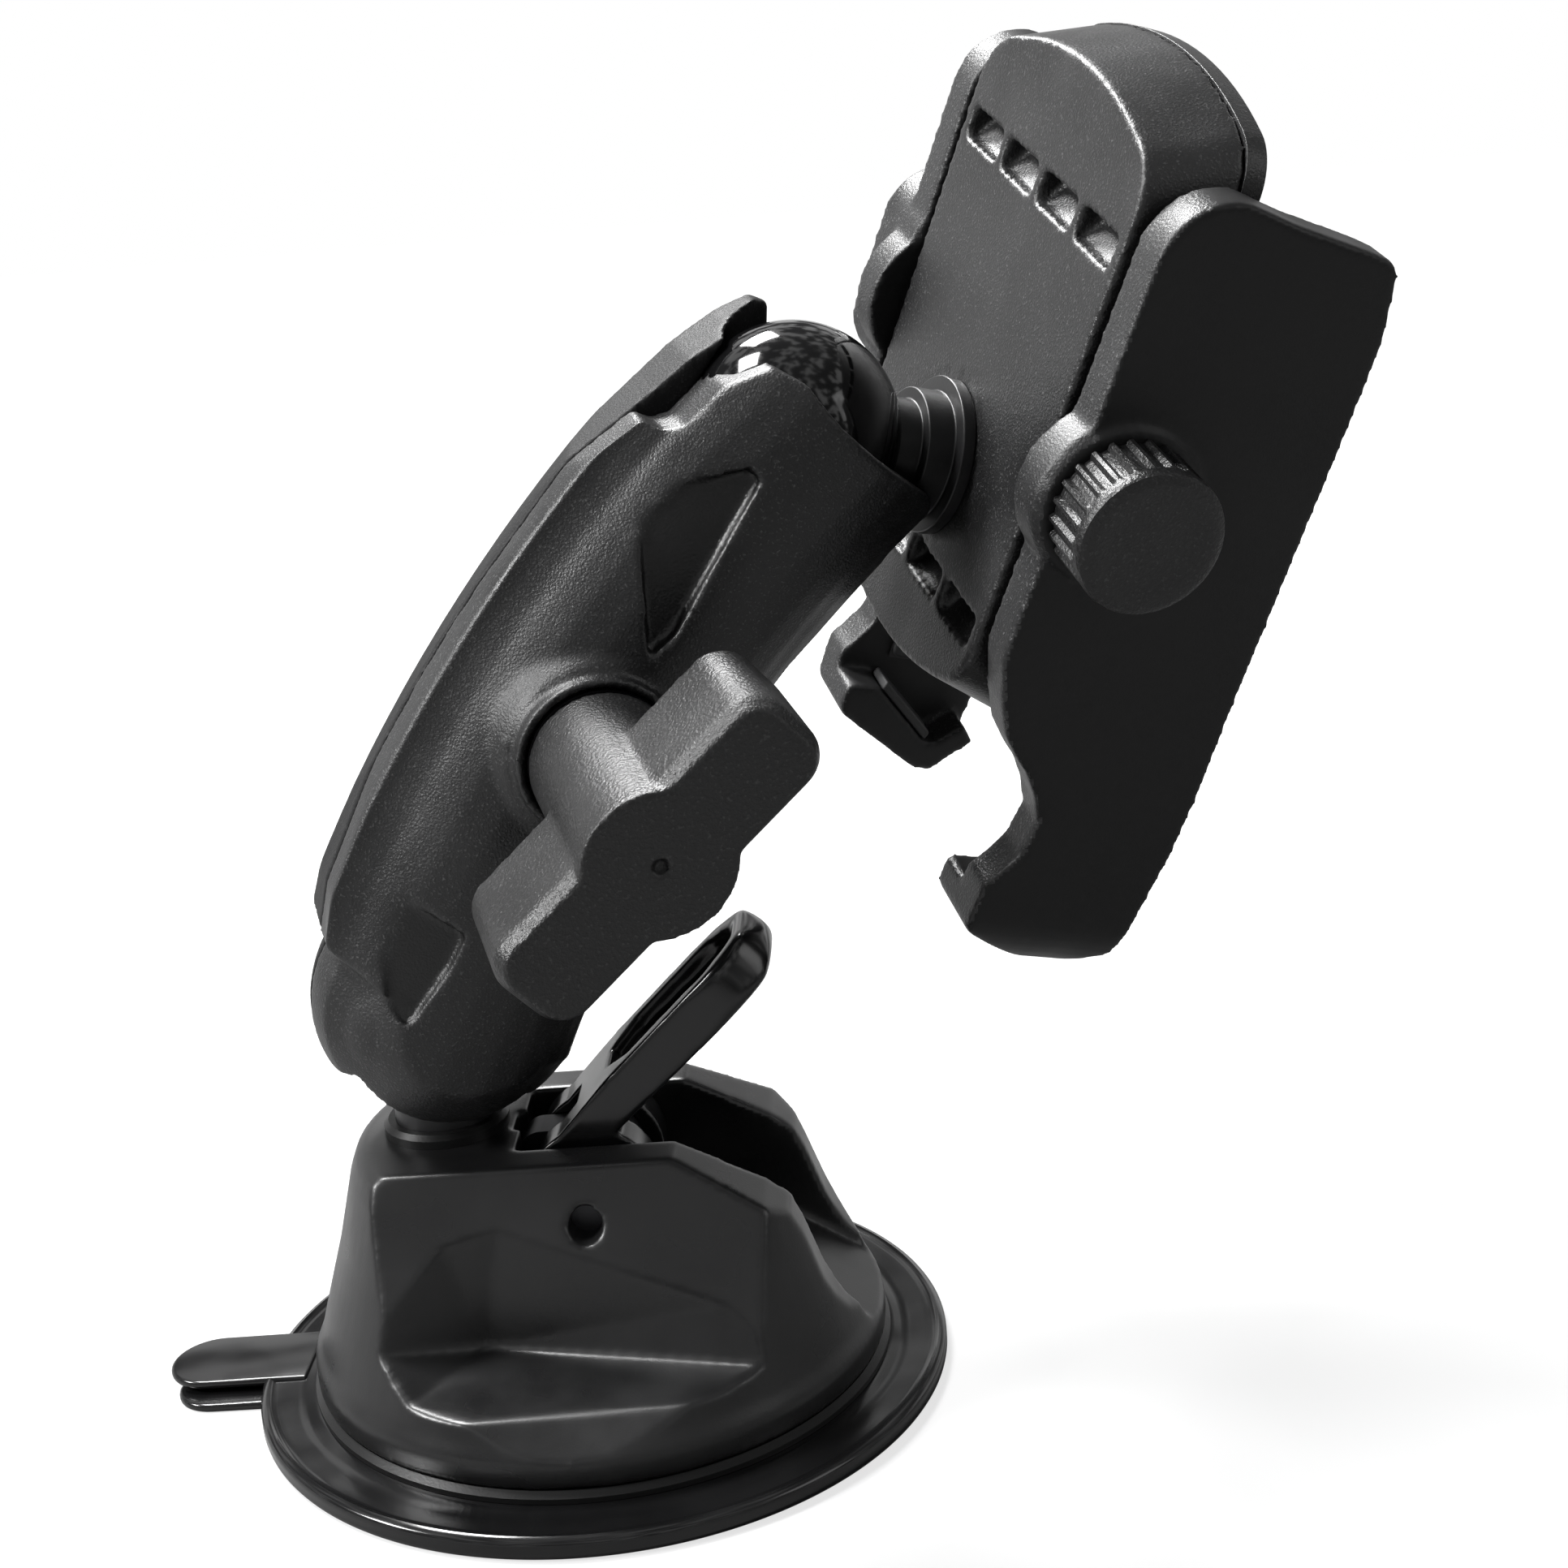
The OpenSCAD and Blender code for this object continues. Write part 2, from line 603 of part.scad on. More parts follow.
module arm_rear_shell() color([0.05, 0.05, 0.05]) in_arm() difference() {
    mirror([0, 0, 1]) arm_shell(rear_end_shares, 1);
    translate([bolt_a, bolt_t, 0]) rod_z(bolt_head_r + gap, -2 * shell_d, bolt_seat_z);
}

module clamp_bolt() color([0.6, 0.6, 0.62]) in_arm() translate([bolt_a, bolt_t, 0]) {
    rod_z(bolt_r, bolt_seat_z, knob_z + bolt_in);
    rod_z(bolt_head_r, bolt_seat_z - bolt_head_h, bolt_seat_z);
}

module knob_washer() color([0.6, 0.6, 0.62]) in_arm() translate([bolt_a, bolt_t, 0])
    ring_z(bolt_r + run_gap, washer_r, shell_d, shell_d + washer_t);

module arm_spring() color([0.7, 0.7, 0.72]) in_arm() translate([bolt_a, bolt_t, -arm_spring_h / 2])
    coil(arm_spring_r, spring_wire_r, arm_spring_h, arm_spring_turns);

module wing_knob() color([0.04, 0.04, 0.04]) in_arm() translate([bolt_a, bolt_t, knob_z]) {
    wing_r = 4;
    dimple_r = 0.9;
    difference() {
        union() {
            cylinder(r = hub_r, h = knob_h);
            rotate([0, 0, wing_turn]) hull() for (x = [-1, 1], y = [-1, 1], z = [knob_h - wing_d, knob_h])
                translate([x * (wing_span / 2 - wing_r), y * (wing_t / 2 - wing_r), 0])
                    rod_z(z == knob_h ? wing_r - wing_edge : wing_r, z == knob_h ? z - wing_edge : z,
                        z == knob_h ? z : knob_h - 2 * wing_edge);
        }
        rod_z(insert_r + pin_gap, -cut, insert_l + 2 * gap);
        rod_z(dimple_r, knob_h - wing_edge, knob_h + cut);
    }
}

module knob_insert() color([0.75, 0.6, 0.3]) in_arm() translate([bolt_a, bolt_t, knob_z])
    ring_z(bolt_r + run_gap, insert_r, 0, insert_l);

module upper_ball_cover() color([0.02, 0.02, 0.02]) in_clamp() ball_cover(up_neck_r);

module upper_ball_stud() color([0.35, 0.35, 0.36]) in_clamp() difference() {
    union() {
        sphere(r = core_r);
        rod_z(up_neck_r, -body_w, 0);
        rod_z(step_r, -body_w, step_h + disc_flange_t - body_w);
        rod_z(disc_flange_r, -body_w, disc_flange_t - body_w);
    }
    for (side = [-1, 1]) translate([side * flange_screw_u, 0, 0])
        rod_z(flange_screw_r + pin_gap, -body_w - cut, flange_screw_l - body_w + gap);
}

// Two screws that hold the ball stud from inside the clamp body
module flange_screws() color([0.55, 0.55, 0.57]) in_clamp() for (side = [-1, 1])
    translate([side * flange_screw_u, 0, 0]) {
        rod_z(flange_head_r, -flange_seat_w - flange_head_h, -flange_seat_w);
        rod_z(flange_screw_r, -flange_seat_w, flange_screw_l - body_w);
    }

// One end of the clamp body seen from behind: a shallow arc that runs into round corners
module end_outline(end, inset = 0) {
    hw = body_hw - inset;
    top = end - inset;
    corner_v = top - body_arc_r + sqrt(pow(body_arc_r - body_corner_r, 2) - pow(hw - body_corner_r, 2));
    touch_u = body_arc_r * (hw - body_corner_r) / (body_arc_r - body_corner_r);
    intersection() {
        translate([0, top - body_arc_r]) circle(r = body_arc_r, $fn = 180);
        translate([-touch_u, -body_arc_r]) square([2 * touch_u, 3 * body_arc_r]);
    }
    translate([-hw, -body_arc_r]) square([2 * hw, body_arc_r + corner_v]);
    for (side = [-1, 1]) translate([side * (hw - body_corner_r), corner_v]) circle(r = body_corner_r);
}

module body_outline(inset = 0) intersection() {
    end_outline(body_top, inset);
    mirror([0, 1]) end_outline(body_drop, inset);
}

// An end that leans in from the seam to the back face
module leaning_end(end) translate([0, end, -seam_w]) rotate([atan(end_in / (seam_w - body_w)), 0, 0])
    translate([0, -end, -body_d]) linear_extrude(body_arc_r + body_d) end_outline(end);

module channel(u0, u1, v0, v1, w0) box([u0, v0, -seam_w - cut], [u1, v1, -w0]);

module clamp_back_shell() color([0.05, 0.05, 0.05]) in_clamp() difference() {
    reach = body_hw + cut;
    shut = rack_end + gap;
    union() {
        intersection() {
            box([-reach, -body_arc_r, -seam_w], [reach, body_arc_r, -body_w]);
            leaning_end(body_top);
            mirror([0, 1, 0]) leaning_end(body_drop);
        }
        translate([0, rack_v, 0]) rod_z(axle_r, -seam_w, -body_w - axle_in);
    }
    for (row = vent_rows, i = [-1.5 : 1.5]) along_x(i * vent_pitch - vent_w / 2, i * vent_pitch + vent_w / 2)
        polygon([[row, -body_w + cut], [row + vent_h, -body_w + cut], [row + vent_h, -body_w - vent_d],
            [row, -body_w - vent_d / 3]]);
    ring_z(disc_flange_r + gap, disc_flange_r + ring_groove, -body_w - ring_groove, -body_w + cut);
    for (side = [-1, 1]) translate([side * flange_screw_u, 0, 0]) {
        rod_z(flange_screw_r + pin_gap, -seam_w, -body_w + cut);
        rod_z(flange_head_r + gap, -seam_w - cut, -flange_seat_w);
    }
    channel(-shut, reach, rack_v + pitch_r - addendum - gap, rack_v + pitch_r + rack_h + gap, rack_w - gap);
    channel(-reach, shut, rack_v - pitch_r - rack_h - gap, rack_v - pitch_r + addendum + gap, rack_w - gap);
    channel(-guide_end - gap, reach, right_guide_v - gap, right_guide_v + guide_h + gap, rack_w - gap);
    channel(-reach, guide_end + gap, left_guide_v - gap, left_guide_v + guide_h + gap, rack_w - gap);
    difference() {
        translate([0, rack_v, 0]) rod_z(pitch_r + addendum + gap, -seam_w - cut, -rack_w + gap);
        translate([0, rack_v, 0]) rod_z(axle_r, -seam_w - 2 * cut, 0);
    }
    at_screw() {
        rod_x(lead_r + gap, 0, reach);
        rod_x(tube_r + gap, -reach, 0);
        rod_x(bush_r + pin_gap, -bush_u - bush_l - pin_gap, pin_gap - bush_u);
    }
    channel(0, reach, screw_v - lead_r - gap, screw_v + lead_r + gap, screw_w);
    channel(-reach, 0, screw_v - tube_r - gap, screw_v + tube_r + gap, screw_w);
    channel(-bush_u - bush_l - pin_gap, pin_gap - bush_u, screw_v - bush_r - pin_gap, screw_v + bush_r + pin_gap,
        screw_w);
    channel(nut_u - pin_gap, nut_u + nut_l + pin_gap, screw_v - nut_hw - pin_gap, screw_v + nut_hw + pin_gap,
        screw_w - nut_hw - pin_gap);
    for (p = cover_spots) translate([p[0], p[1], 0])
        rod_z(cover_screw_r + pin_gap, -seam_w - cut, cover_screw_l + cover_head_h - seam_w);
}

module clamp_front_cover() color([0.05, 0.05, 0.05]) in_clamp() difference() {
    translate([0, 0, -seam_w - cover_t]) linear_extrude(cover_t) body_outline();
    for (p = cover_spots) translate([p[0], p[1], 0]) {
        rod_z(cover_screw_r + run_gap, -seam_w - 2 * cover_t, 0);
        rod_z(cover_head_r + run_gap, -seam_w - 2 * cover_t, -seam_w - cover_head_h);
    }
    translate([0, rack_v, 0]) rod_z(axle_r + run_gap, -seam_w - cover_head_h, cut - seam_w);
}

module front_pad() color([0.08, 0.08, 0.08]) in_clamp() difference() {
    z1 = -seam_w - cover_t;
    groove = 0.5;
    groove_pitch = 8;
    pad_inset = 3.5;
    translate([0, 0, z1 - pad_t]) linear_extrude(pad_t) body_outline(pad_inset);
    for (i = [-3 : 3]) translate([0, (body_top - body_drop) / 2 + i * groove_pitch, 0])
        box([-body_hw, -groove, z1 - pad_t - cut], [body_hw, groove, z1 - pad_t + groove]);
}

module cover_screws() color([0.5, 0.5, 0.52]) in_clamp() for (p = cover_spots) translate([p[0], p[1], 0]) {
    rod_z(cover_screw_r, -seam_w - cover_head_h - pin_gap, cover_screw_l - seam_w);
    rod_z(cover_head_r, -seam_w - cover_t + gap, -seam_w - cover_head_h);
}

module screw_nut() color([0.75, 0.6, 0.3]) in_clamp() at_screw() difference() {
    box([nut_u, -nut_hw, -nut_hw], [nut_u + nut_l, nut_hw, nut_hw]);
    rod_x(lead_r + run_gap, nut_u - cut, nut_u + nut_l + cut);
}

module tube_bush() color([0.75, 0.6, 0.3]) in_clamp() at_screw()
    tube_x(tube_r + run_gap, bush_r, -bush_u - bush_l, -bush_u);

module gear_tooth(w0, w1, h0, h1) linear_extrude(rack_d) polygon([[-w0 / 2, h0], [-w1 / 2, h1],
    [w1 / 2, h1], [w0 / 2, h0]]);

module pinion() color([0.85, 0.85, 0.83]) in_clamp() translate([0, rack_v, -rack_w - rack_d]) difference() {
    union() {
        rod_z(pitch_r - dedendum, 0, rack_d);
        for (i = [0 : teeth - 1]) rotate([0, 0, 360 * i / teeth])
            gear_tooth(root_w, tip_w, pitch_r - 2 * dedendum, pitch_r + addendum);
    }
    rod_z(axle_r + run_gap, -cut, rack_d + cut);
}

// Bar with teeth on its lower edge, from its inner end to the jaw
module rack_bar() {
    step = PI * tooth_module;
    first = ceil((tooth_module - rack_end) / step);
    translate([0, 0, -rack_w - rack_d]) {
        box([-rack_end, dedendum, 0], [jaw_u, rack_h, rack_d]);
        for (k = [first : -first - 1]) translate([(k + 0.5) * step, 0, 0])
            gear_tooth(tip_w, root_w, -addendum, dedendum + cut);
    }
}

module right_rack() color([0.85, 0.85, 0.83]) in_clamp() translate([0, rack_v + pitch_r, 0]) rack_bar();
module left_rack() color([0.85, 0.85, 0.83]) in_clamp() translate([0, rack_v - pitch_r, 0])
    rotate([0, 0, 180]) rack_bar();

// Side view of a jaw as shares of its length: straight back with a round boss, a hook
// under the body, and a curved foot
hook_shares = [[-0.11, -0.196], [-0.159, -0.214], [-0.2, -0.234], [-0.23, -0.261], [-0.245, -0.278],
    [-0.276, -0.301], [-0.31, -0.318], [-0.357, -0.312], [-0.39, -0.292], [-0.404, -0.281]];
foot_out_shares = [[-0.465, -0.281], [-0.476, -0.29], [-0.545, -0.419], [-0.547, -0.445], [-0.493, -0.496]];
foot_in_shares = [[-0.469, -0.474], [-0.5, -0.441], [-0.502, -0.423], [-0.426, -0.328], [-0.427, -0.291],
    [-0.432, -0.281]];
front_shares = [[-0.421, -0.503], [-0.335, -0.511], [-0.258, -0.512], [-0.128, -0.506], [0.065, -0.501],
    [0.236, -0.496], [0.332, -0.492], [0.407, -0.475], [0.419, -0.464], [0.424, -0.435], [0.434, -0.339]];
lip_in_shares = [[0.405, -0.462], [-0.42, -0.471]];

function scaled(shares) = [for (s = shares) s * jaw_l];

module jaw_side() {
    back_in = 0.2;
    back_w = -body_w - back_in;
    top_r = 8;
    top_c = [0.365 * jaw_l, back_w - top_r];
    bump_r = 10;
    polygon(concat(scaled(hook_shares), scaled(foot_out_shares), scaled(front_shares),
        arc(top_c, top_r, 0, 90), [[-0.09 * jaw_l, back_w]]));
    translate([screw_v, -screw_w]) circle(r = bump_r);
}

module jaw_shape() intersection() {
    union() {
        along_x(jaw_u, jaw_u + jaw_t) jaw_side();
        along_x(shelf_u, jaw_u + cut) polygon(concat(scaled(foot_out_shares), scaled(foot_in_shares)));
        along_x(lip_u, jaw_u + cut) polygon(concat(scaled([for (i = [1 : 7]) front_shares[i]]),
            scaled(lip_in_shares)));
    }
    translate([0, 0, -jaw_l]) linear_extrude(jaw_l) polygon(concat([[shelf_u, -0.547 * jaw_l],
        [shelf_u, jaw_l / 2], [jaw_u + jaw_t, jaw_l / 2]],
        arc([jaw_u + jaw_t - corner_r, corner_r - 0.547 * jaw_l], corner_r, 0, -90, 10)));
}

module jaw_guide(v) box([-guide_end, v, -rack_w - rack_d], [jaw_u + cut, v + guide_h, -rack_w]);

module right_jaw() color([0.04, 0.04, 0.04]) in_clamp() {
    difference() {
        union() {
            jaw_shape();
            at_screw() rod_x(seat_r, jaw_u + jaw_t - cut, jaw_u + jaw_t + seat_h);
        }
        at_screw() rod_x(lead_r + run_gap, 0, 2 * jaw_l);
        at_screw() rod_x(thrust_r + gap, jaw_u + jaw_t + seat_h - thrust_t, 2 * jaw_l);
    }
    jaw_guide(right_guide_v);
}

module left_jaw() color([0.04, 0.04, 0.04]) in_clamp() {
    difference() {
        union() {
            mirror([1, 0, 0]) jaw_shape();
            for (v = lump_v) translate([0, v, -screw_w]) rod_x(lump_r, -lump_u, -jaw_u - cut);
            box([-lump_u, lump_v[0], -screw_w - lump_r], [-jaw_u - cut, lump_v[1], lump_r - screw_w]);
        }
        at_screw() rod_x(tube_r + pin_gap, -2 * jaw_l, 0);
    }
    mirror([1, 0, 0]) jaw_guide(left_guide_v);
}

// Rubber pad on the inner wall, with scallops along its face
pad_w_share = [0.35, 0.46];
pad_v_share = [-0.4, 0.39];

module side_pad() {
    pad_w = pad_w_share * jaw_l;
    pad_v = pad_v_share * jaw_l;
    pad_depth = 1.3;
    lobes = 7;
    pitch = (pad_v[1] - pad_v[0]) / lobes;
    difference() {
        box([jaw_u - pad_depth, pad_v[0], -pad_w[1]], [jaw_u, pad_v[1], -pad_w[0]]);
        for (i = [1 : lobes - 1]) translate([jaw_u - pad_depth, pad_v[0] + i * pitch, 0])
            rod_z(pad_depth * 0.7, -pad_w[1] - cut, cut - pad_w[0]);
    }
}

foot_pad_shares = [[-0.4285, -0.333], [-0.416, -0.338], [-0.488, -0.428], [-0.5005, -0.423]];

module foot_pad() along_x(shelf_u + gap, jaw_u - gap) polygon(scaled(foot_pad_shares));

module right_side_pad() color([0.1, 0.1, 0.1]) in_clamp() side_pad();
module left_side_pad() color([0.1, 0.1, 0.1]) in_clamp() mirror([1, 0, 0]) side_pad();
module right_foot_pad() color([0.1, 0.1, 0.1]) in_clamp() foot_pad();
module left_foot_pad() color([0.1, 0.1, 0.1]) in_clamp() mirror([1, 0, 0]) foot_pad();

module thrust_washer() color([0.8, 0.8, 0.78]) in_clamp() at_screw()
    tube_x(lead_r + run_gap, thrust_r, jaw_u + jaw_t + seat_h - thrust_t, jaw_u + jaw_t + seat_h + run_gap);

module lead_screw() color([0.6, 0.6, 0.62]) in_clamp() at_screw() rod_x(lead_r, screw_in,
    jaw_u + jaw_t + seat_h + screw_out);

module screw_knob() color([0.04, 0.04, 0.04]) in_clamp() at_screw() {
    u0 = jaw_u + jaw_t + seat_h + 2 * run_gap;
    chamfer = 0.7;
    rib_r = 0.55;
    difference() {
        union() {
            translate([u0, 0, 0]) rotate([0, 90, 0]) rotate_extrude() polygon([[0, 0], [dial_r - rib_r, 0],
                [dial_r - rib_r, dial_l - 2 * chamfer], [dial_r, dial_l - 2 * chamfer], [dial_r, dial_l - chamfer],
                [dial_r - chamfer, dial_l], [0, dial_l]]);
            for (i = [0 : dial_ribs - 1]) rotate([360 * i / dial_ribs, 0, 0]) translate([0, 0, dial_r - rib_r])
                box([u0, -rib_r, -rib_r], [u0 + dial_l - chamfer, rib_r, rib_r]);
        }
        rod_x(lead_r + pin_gap, u0 - cut, jaw_u + jaw_t + seat_h + screw_out + pin_gap);
    }
}

module retaining_clip() color([0.6, 0.6, 0.62]) in_clamp() at_screw()
    tube_x(lead_r + pin_gap, clip_r, jaw_u - run_gap - clip_t, jaw_u - run_gap);

module guide_tube() color([0.6, 0.6, 0.62]) in_clamp() at_screw() tube_x(lead_r + 2 * run_gap, tube_r, -lump_u, tube_in);

module tube_cap() color([0.05, 0.05, 0.05]) in_clamp() at_screw() {
    rod_x(cap_r, -cap_u, -lump_u);
    rod_x(lead_r, -lump_u, cap_r - lump_u);
}

suction_disc();
base_gasket();
base_housing();
lever_pin();
cam_lever();
disc_stem();
return_spring();
lower_ball_stud();
post_collar();
post_screw();
lower_ball_cover();
arm_front_shell();
arm_rear_shell();
clamp_bolt();
knob_washer();
arm_spring();
wing_knob();
knob_insert();
upper_ball_cover();
upper_ball_stud();
flange_screws();
clamp_back_shell();
clamp_front_cover();
front_pad();
cover_screws();
screw_nut();
tube_bush();
pinion();
right_jaw();
right_rack();
right_side_pad();
right_foot_pad();
thrust_washer();
lead_screw();
screw_knob();
retaining_clip();
left_jaw();
left_rack();
left_side_pad();
left_foot_pad();
guide_tube();
tube_cap();
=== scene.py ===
"""Suction cup phone holder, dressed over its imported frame.

Every piece is built in metres in the frame's own axes. The classes below stand for the
holder's sub-assemblies, and main() builds and dresses them in order.
"""

import json
import logging
import math
from dataclasses import dataclass
from enum import Enum
from typing import Callable, Iterable

import bmesh
import bpy
from mathutils import Euler, Matrix, Vector

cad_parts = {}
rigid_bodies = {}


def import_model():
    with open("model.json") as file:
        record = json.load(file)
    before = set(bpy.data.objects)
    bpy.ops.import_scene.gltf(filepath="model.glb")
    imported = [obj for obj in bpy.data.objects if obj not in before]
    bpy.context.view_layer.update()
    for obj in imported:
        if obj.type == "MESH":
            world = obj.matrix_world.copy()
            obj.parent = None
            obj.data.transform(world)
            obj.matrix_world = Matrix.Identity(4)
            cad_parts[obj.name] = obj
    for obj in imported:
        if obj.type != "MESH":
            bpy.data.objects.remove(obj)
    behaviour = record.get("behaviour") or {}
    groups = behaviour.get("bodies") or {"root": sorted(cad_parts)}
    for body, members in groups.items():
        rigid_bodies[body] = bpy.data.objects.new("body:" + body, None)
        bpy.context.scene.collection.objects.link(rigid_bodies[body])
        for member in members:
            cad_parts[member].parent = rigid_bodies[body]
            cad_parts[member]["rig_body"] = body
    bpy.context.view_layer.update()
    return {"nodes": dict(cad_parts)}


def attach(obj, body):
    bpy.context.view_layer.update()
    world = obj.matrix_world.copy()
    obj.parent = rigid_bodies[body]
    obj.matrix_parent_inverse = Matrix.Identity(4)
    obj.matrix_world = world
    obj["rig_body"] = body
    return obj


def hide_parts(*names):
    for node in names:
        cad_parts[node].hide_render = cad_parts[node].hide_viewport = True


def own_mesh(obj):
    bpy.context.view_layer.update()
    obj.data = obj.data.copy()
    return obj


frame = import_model()
MM = 0.001
LOG = logging.getLogger("phone_holder")
WHITE = (1.0, 1.0, 1.0, 1.0)
CLOUD_SPAN = (0.35, 0.7)
CLOUD_SHARE = 0.6
CLOUD_SHADE = (1.5, 0.003)
# painted glints: where and how much the colour is lifted in small flecks, standing in for the grain's sparkle under
# light
GLINT_SPECK_SPAN = (0.6, 0.72)
GLINT_SPECK_LIFT = 0.25
# painted highlight: where and how much sharp edges are lightened, standing in for the thin highlights that light
# leaves along them
EDGE_HIGHLIGHT_SPAN = (0.52, 0.6)
EDGE_HIGHLIGHT_SHADE = (2.2, 0.01)
ROUGH_SPAN = (0.3, 0.7)
GRAIN_REACH, PLAIN_REACH = 0.09, 0.05
LEAST_ROUGH = 0.02
GLOSS_RELIEF, FULL_RELIEF = 0.35, 0.8
# painted shade: share of the colour that stays in the arm shell's hollows
HOLLOW_SHADE_SHARE = 0.4
MIX_SHARE, MIX_FIRST, MIX_SECOND, MIX_RESULT = 0, 6, 7, 2
RECIPE_CREASE, MOULD_CREASE = 38.0, 40.0


def clamp(value: float, low: float = 0.0, high: float = 1.0) -> float:
    """Keeps a value between two bounds."""
    return min(high, max(low, value))


class Graph:
    """A node tree, with short ways to add nodes whose inputs are sockets or plain values."""

    def __init__(self, tree: bpy.types.NodeTree) -> None:
        """Takes the tree that the nodes go to."""
        self.tree = tree

    def node(self, kind: str, links: dict, out: int | str = 0, **settings: object) -> bpy.types.NodeSocket:
        """Adds a node.

        Args:
            kind: The node's type.
            links: Sockets or plain values for its inputs, by name or place.
            out: Name or place of the output that is wanted.
            settings: The node's own settings.

        Returns:
            The wanted output.
        """
        made = self.tree.nodes.new(kind)
        for key, value in settings.items():
            setattr(made, key, value)
        for key, value in links.items():
            if isinstance(value, bpy.types.NodeSocket):
                self.tree.links.new(value, made.inputs[key])
            else:
                made.inputs[key].default_value = value
        return made.outputs[out]

    def sum(self, kind: str, *values: object) -> bpy.types.NodeSocket:
        """Adds a Math node.

        Args:
            kind: The operation.
            values: Its sockets or numbers, in order.

        Returns:
            The result.
        """
        return self.node("ShaderNodeMath", dict(enumerate(values)), operation=kind)

    def times(self, first: object, *others: object) -> bpy.types.NodeSocket:
        """Multiplies values, from the first to the last."""
        for other in others:
            first = self.sum("MULTIPLY", first, other)
        return first

    def less(self, value: object, taken: object) -> bpy.types.NodeSocket:
        """Takes one value from another."""
        return self.sum("SUBTRACT", value, taken)

    def over(self, value: object, part: object) -> bpy.types.NodeSocket:
        """Divides one value by another."""
        return self.sum("DIVIDE", value, part)

    def spread(self, value: object, span: tuple = (0.0, 1.0), low: object = 0.0, high: object = 1.0,
               **settings: object) -> bpy.types.NodeSocket:
        """Maps one span of values to another.

        Args:
            value: What is read.
            span: Start and end of what is read.
            low: Value at the start.
            high: Value at the end.
            settings: The node's own settings.

        Returns:
            The mapped value.
        """
        return self.node("ShaderNodeMapRange", {"Value": value, "From Min": span[0], "From Max": span[1],
                                                "To Min": low, "To Max": high}, **settings)


class Texture(Enum):
    """The way a finish breaks up light."""

    GRAIN = "moulded grain"
    GLOSS = "polished mould"
    RUBBER = "soft rubber"
    METAL = "turned metal"


@dataclass(frozen=True)
class Finish:
    """One material, as sizes and shares that its node tree is built from."""

    name: str
    slot: str
    colour: tuple[float, float, float]
    roughness: float
    texture: Texture = Texture.GRAIN
    grain: float = 0.28 * MM
    relief: float = 0.02 * MM
    specular: float = 0.5
    metallic: float = 0.0
    # share of painted glints, as light flecks in the colour
    glint_speck: float = 0.0
    # paints shade into the hollows that the piece's hollow attribute marks
    hollow: bool = False
    # share of painted highlight on sharp edges
    edge_highlight: float = 0.25
    cloud: float = 14 * MM

    def material(self) -> bpy.types.Material:
        """Builds this finish once and returns it.

        Returns:
            The material, shared by every piece that has this finish.
        """
        made = bpy.data.materials.get(self.name)
        if made is None:
            made = bpy.data.materials.new(self.name)
            made.use_nodes = True
            self._wire(made.node_tree)
        return made

    def _wire(self, tree: bpy.types.NodeTree) -> None:
        """Wires colour, roughness and relief into the shader.

        Args:
            tree: The new material's node tree.
        """
        graph = Graph(tree)
        place = graph.node("ShaderNodeTexCoord", {}, "Object")
        cloud = graph.node("ShaderNodeTexNoise", {"Vector": place, "Scale": 1 / self.cloud, "Detail": 3.0}, "Fac")
        fine = graph.node("ShaderNodeTexNoise", {"Vector": place, "Scale": 1 / self.grain, "Detail": 2.0}, "Fac")
        lighter = tuple(min(1.0, part) for part in self._shade(*CLOUD_SHADE))
        colour = self._mixed(graph, graph.spread(cloud, CLOUD_SPAN, 0.0, CLOUD_SHARE), self._shade(1.0), lighter)
        # painted glints: small flecks of lighter colour stand in for the sparkle of the grain
        if self.glint_speck:
            spots = graph.spread(fine, GLINT_SPECK_SPAN, 0.0, self.glint_speck)
            colour = self._mixed(graph, spots, colour, self._shade(1.0, GLINT_SPECK_LIFT))
        # painted highlight: sharp edges, read from pointiness, are lightened in colour as if light caught them
        edge = graph.node("ShaderNodeNewGeometry", {}, "Pointiness")
        edge_highlight_mask = graph.spread(edge, EDGE_HIGHLIGHT_SPAN, 0.0, self.edge_highlight)
        colour = self._mixed(graph, edge_highlight_mask, colour, self._shade(*EDGE_HIGHLIGHT_SHADE))
        # painted shade: the colour is darkened where the piece's hollow attribute marks a recess
        if self.hollow:
            depth = graph.node("ShaderNodeAttribute", {}, "Fac", attribute_name="hollow")
            colour = self._mixed(graph, depth, colour, self._shade(HOLLOW_SHADE_SHARE))
        reach = GRAIN_REACH if self.texture is Texture.GRAIN else PLAIN_REACH
        rough = graph.spread(cloud, ROUGH_SPAN, clamp(self.roughness - reach, LEAST_ROUGH),
                             clamp(self.roughness + reach))
        relief = GLOSS_RELIEF if self.texture is Texture.GLOSS else FULL_RELIEF
        bump = graph.node("ShaderNodeBump", {"Strength": relief, "Distance": self.relief, "Height": fine}, "Normal")
        shader = tree.nodes["Principled BSDF"]
        shader.inputs["Metallic"].default_value = self.metallic
        shader.inputs["Specular IOR Level"].default_value = self.specular
        for name, source in (("Base Color", colour), ("Roughness", rough), ("Normal", bump)):
            tree.links.new(source, shader.inputs[name])

    def _shade(self, share: float, lift: float = 0.0) -> tuple[float, ...]:
        """A share of the finish's colour, lifted by a step."""
        return (*(share * part + lift for part in self.colour), 1.0)

    @staticmethod
    def _mixed(graph: Graph, share: bpy.types.NodeSocket, first: object, second: tuple) -> bpy.types.NodeSocket:
        """Mixes two colours, where the share is the second one's."""
        return graph.node("ShaderNodeMix", {MIX_SHARE: share, MIX_FIRST: first, MIX_SECOND: second}, MIX_RESULT,
                          data_type="RGBA")


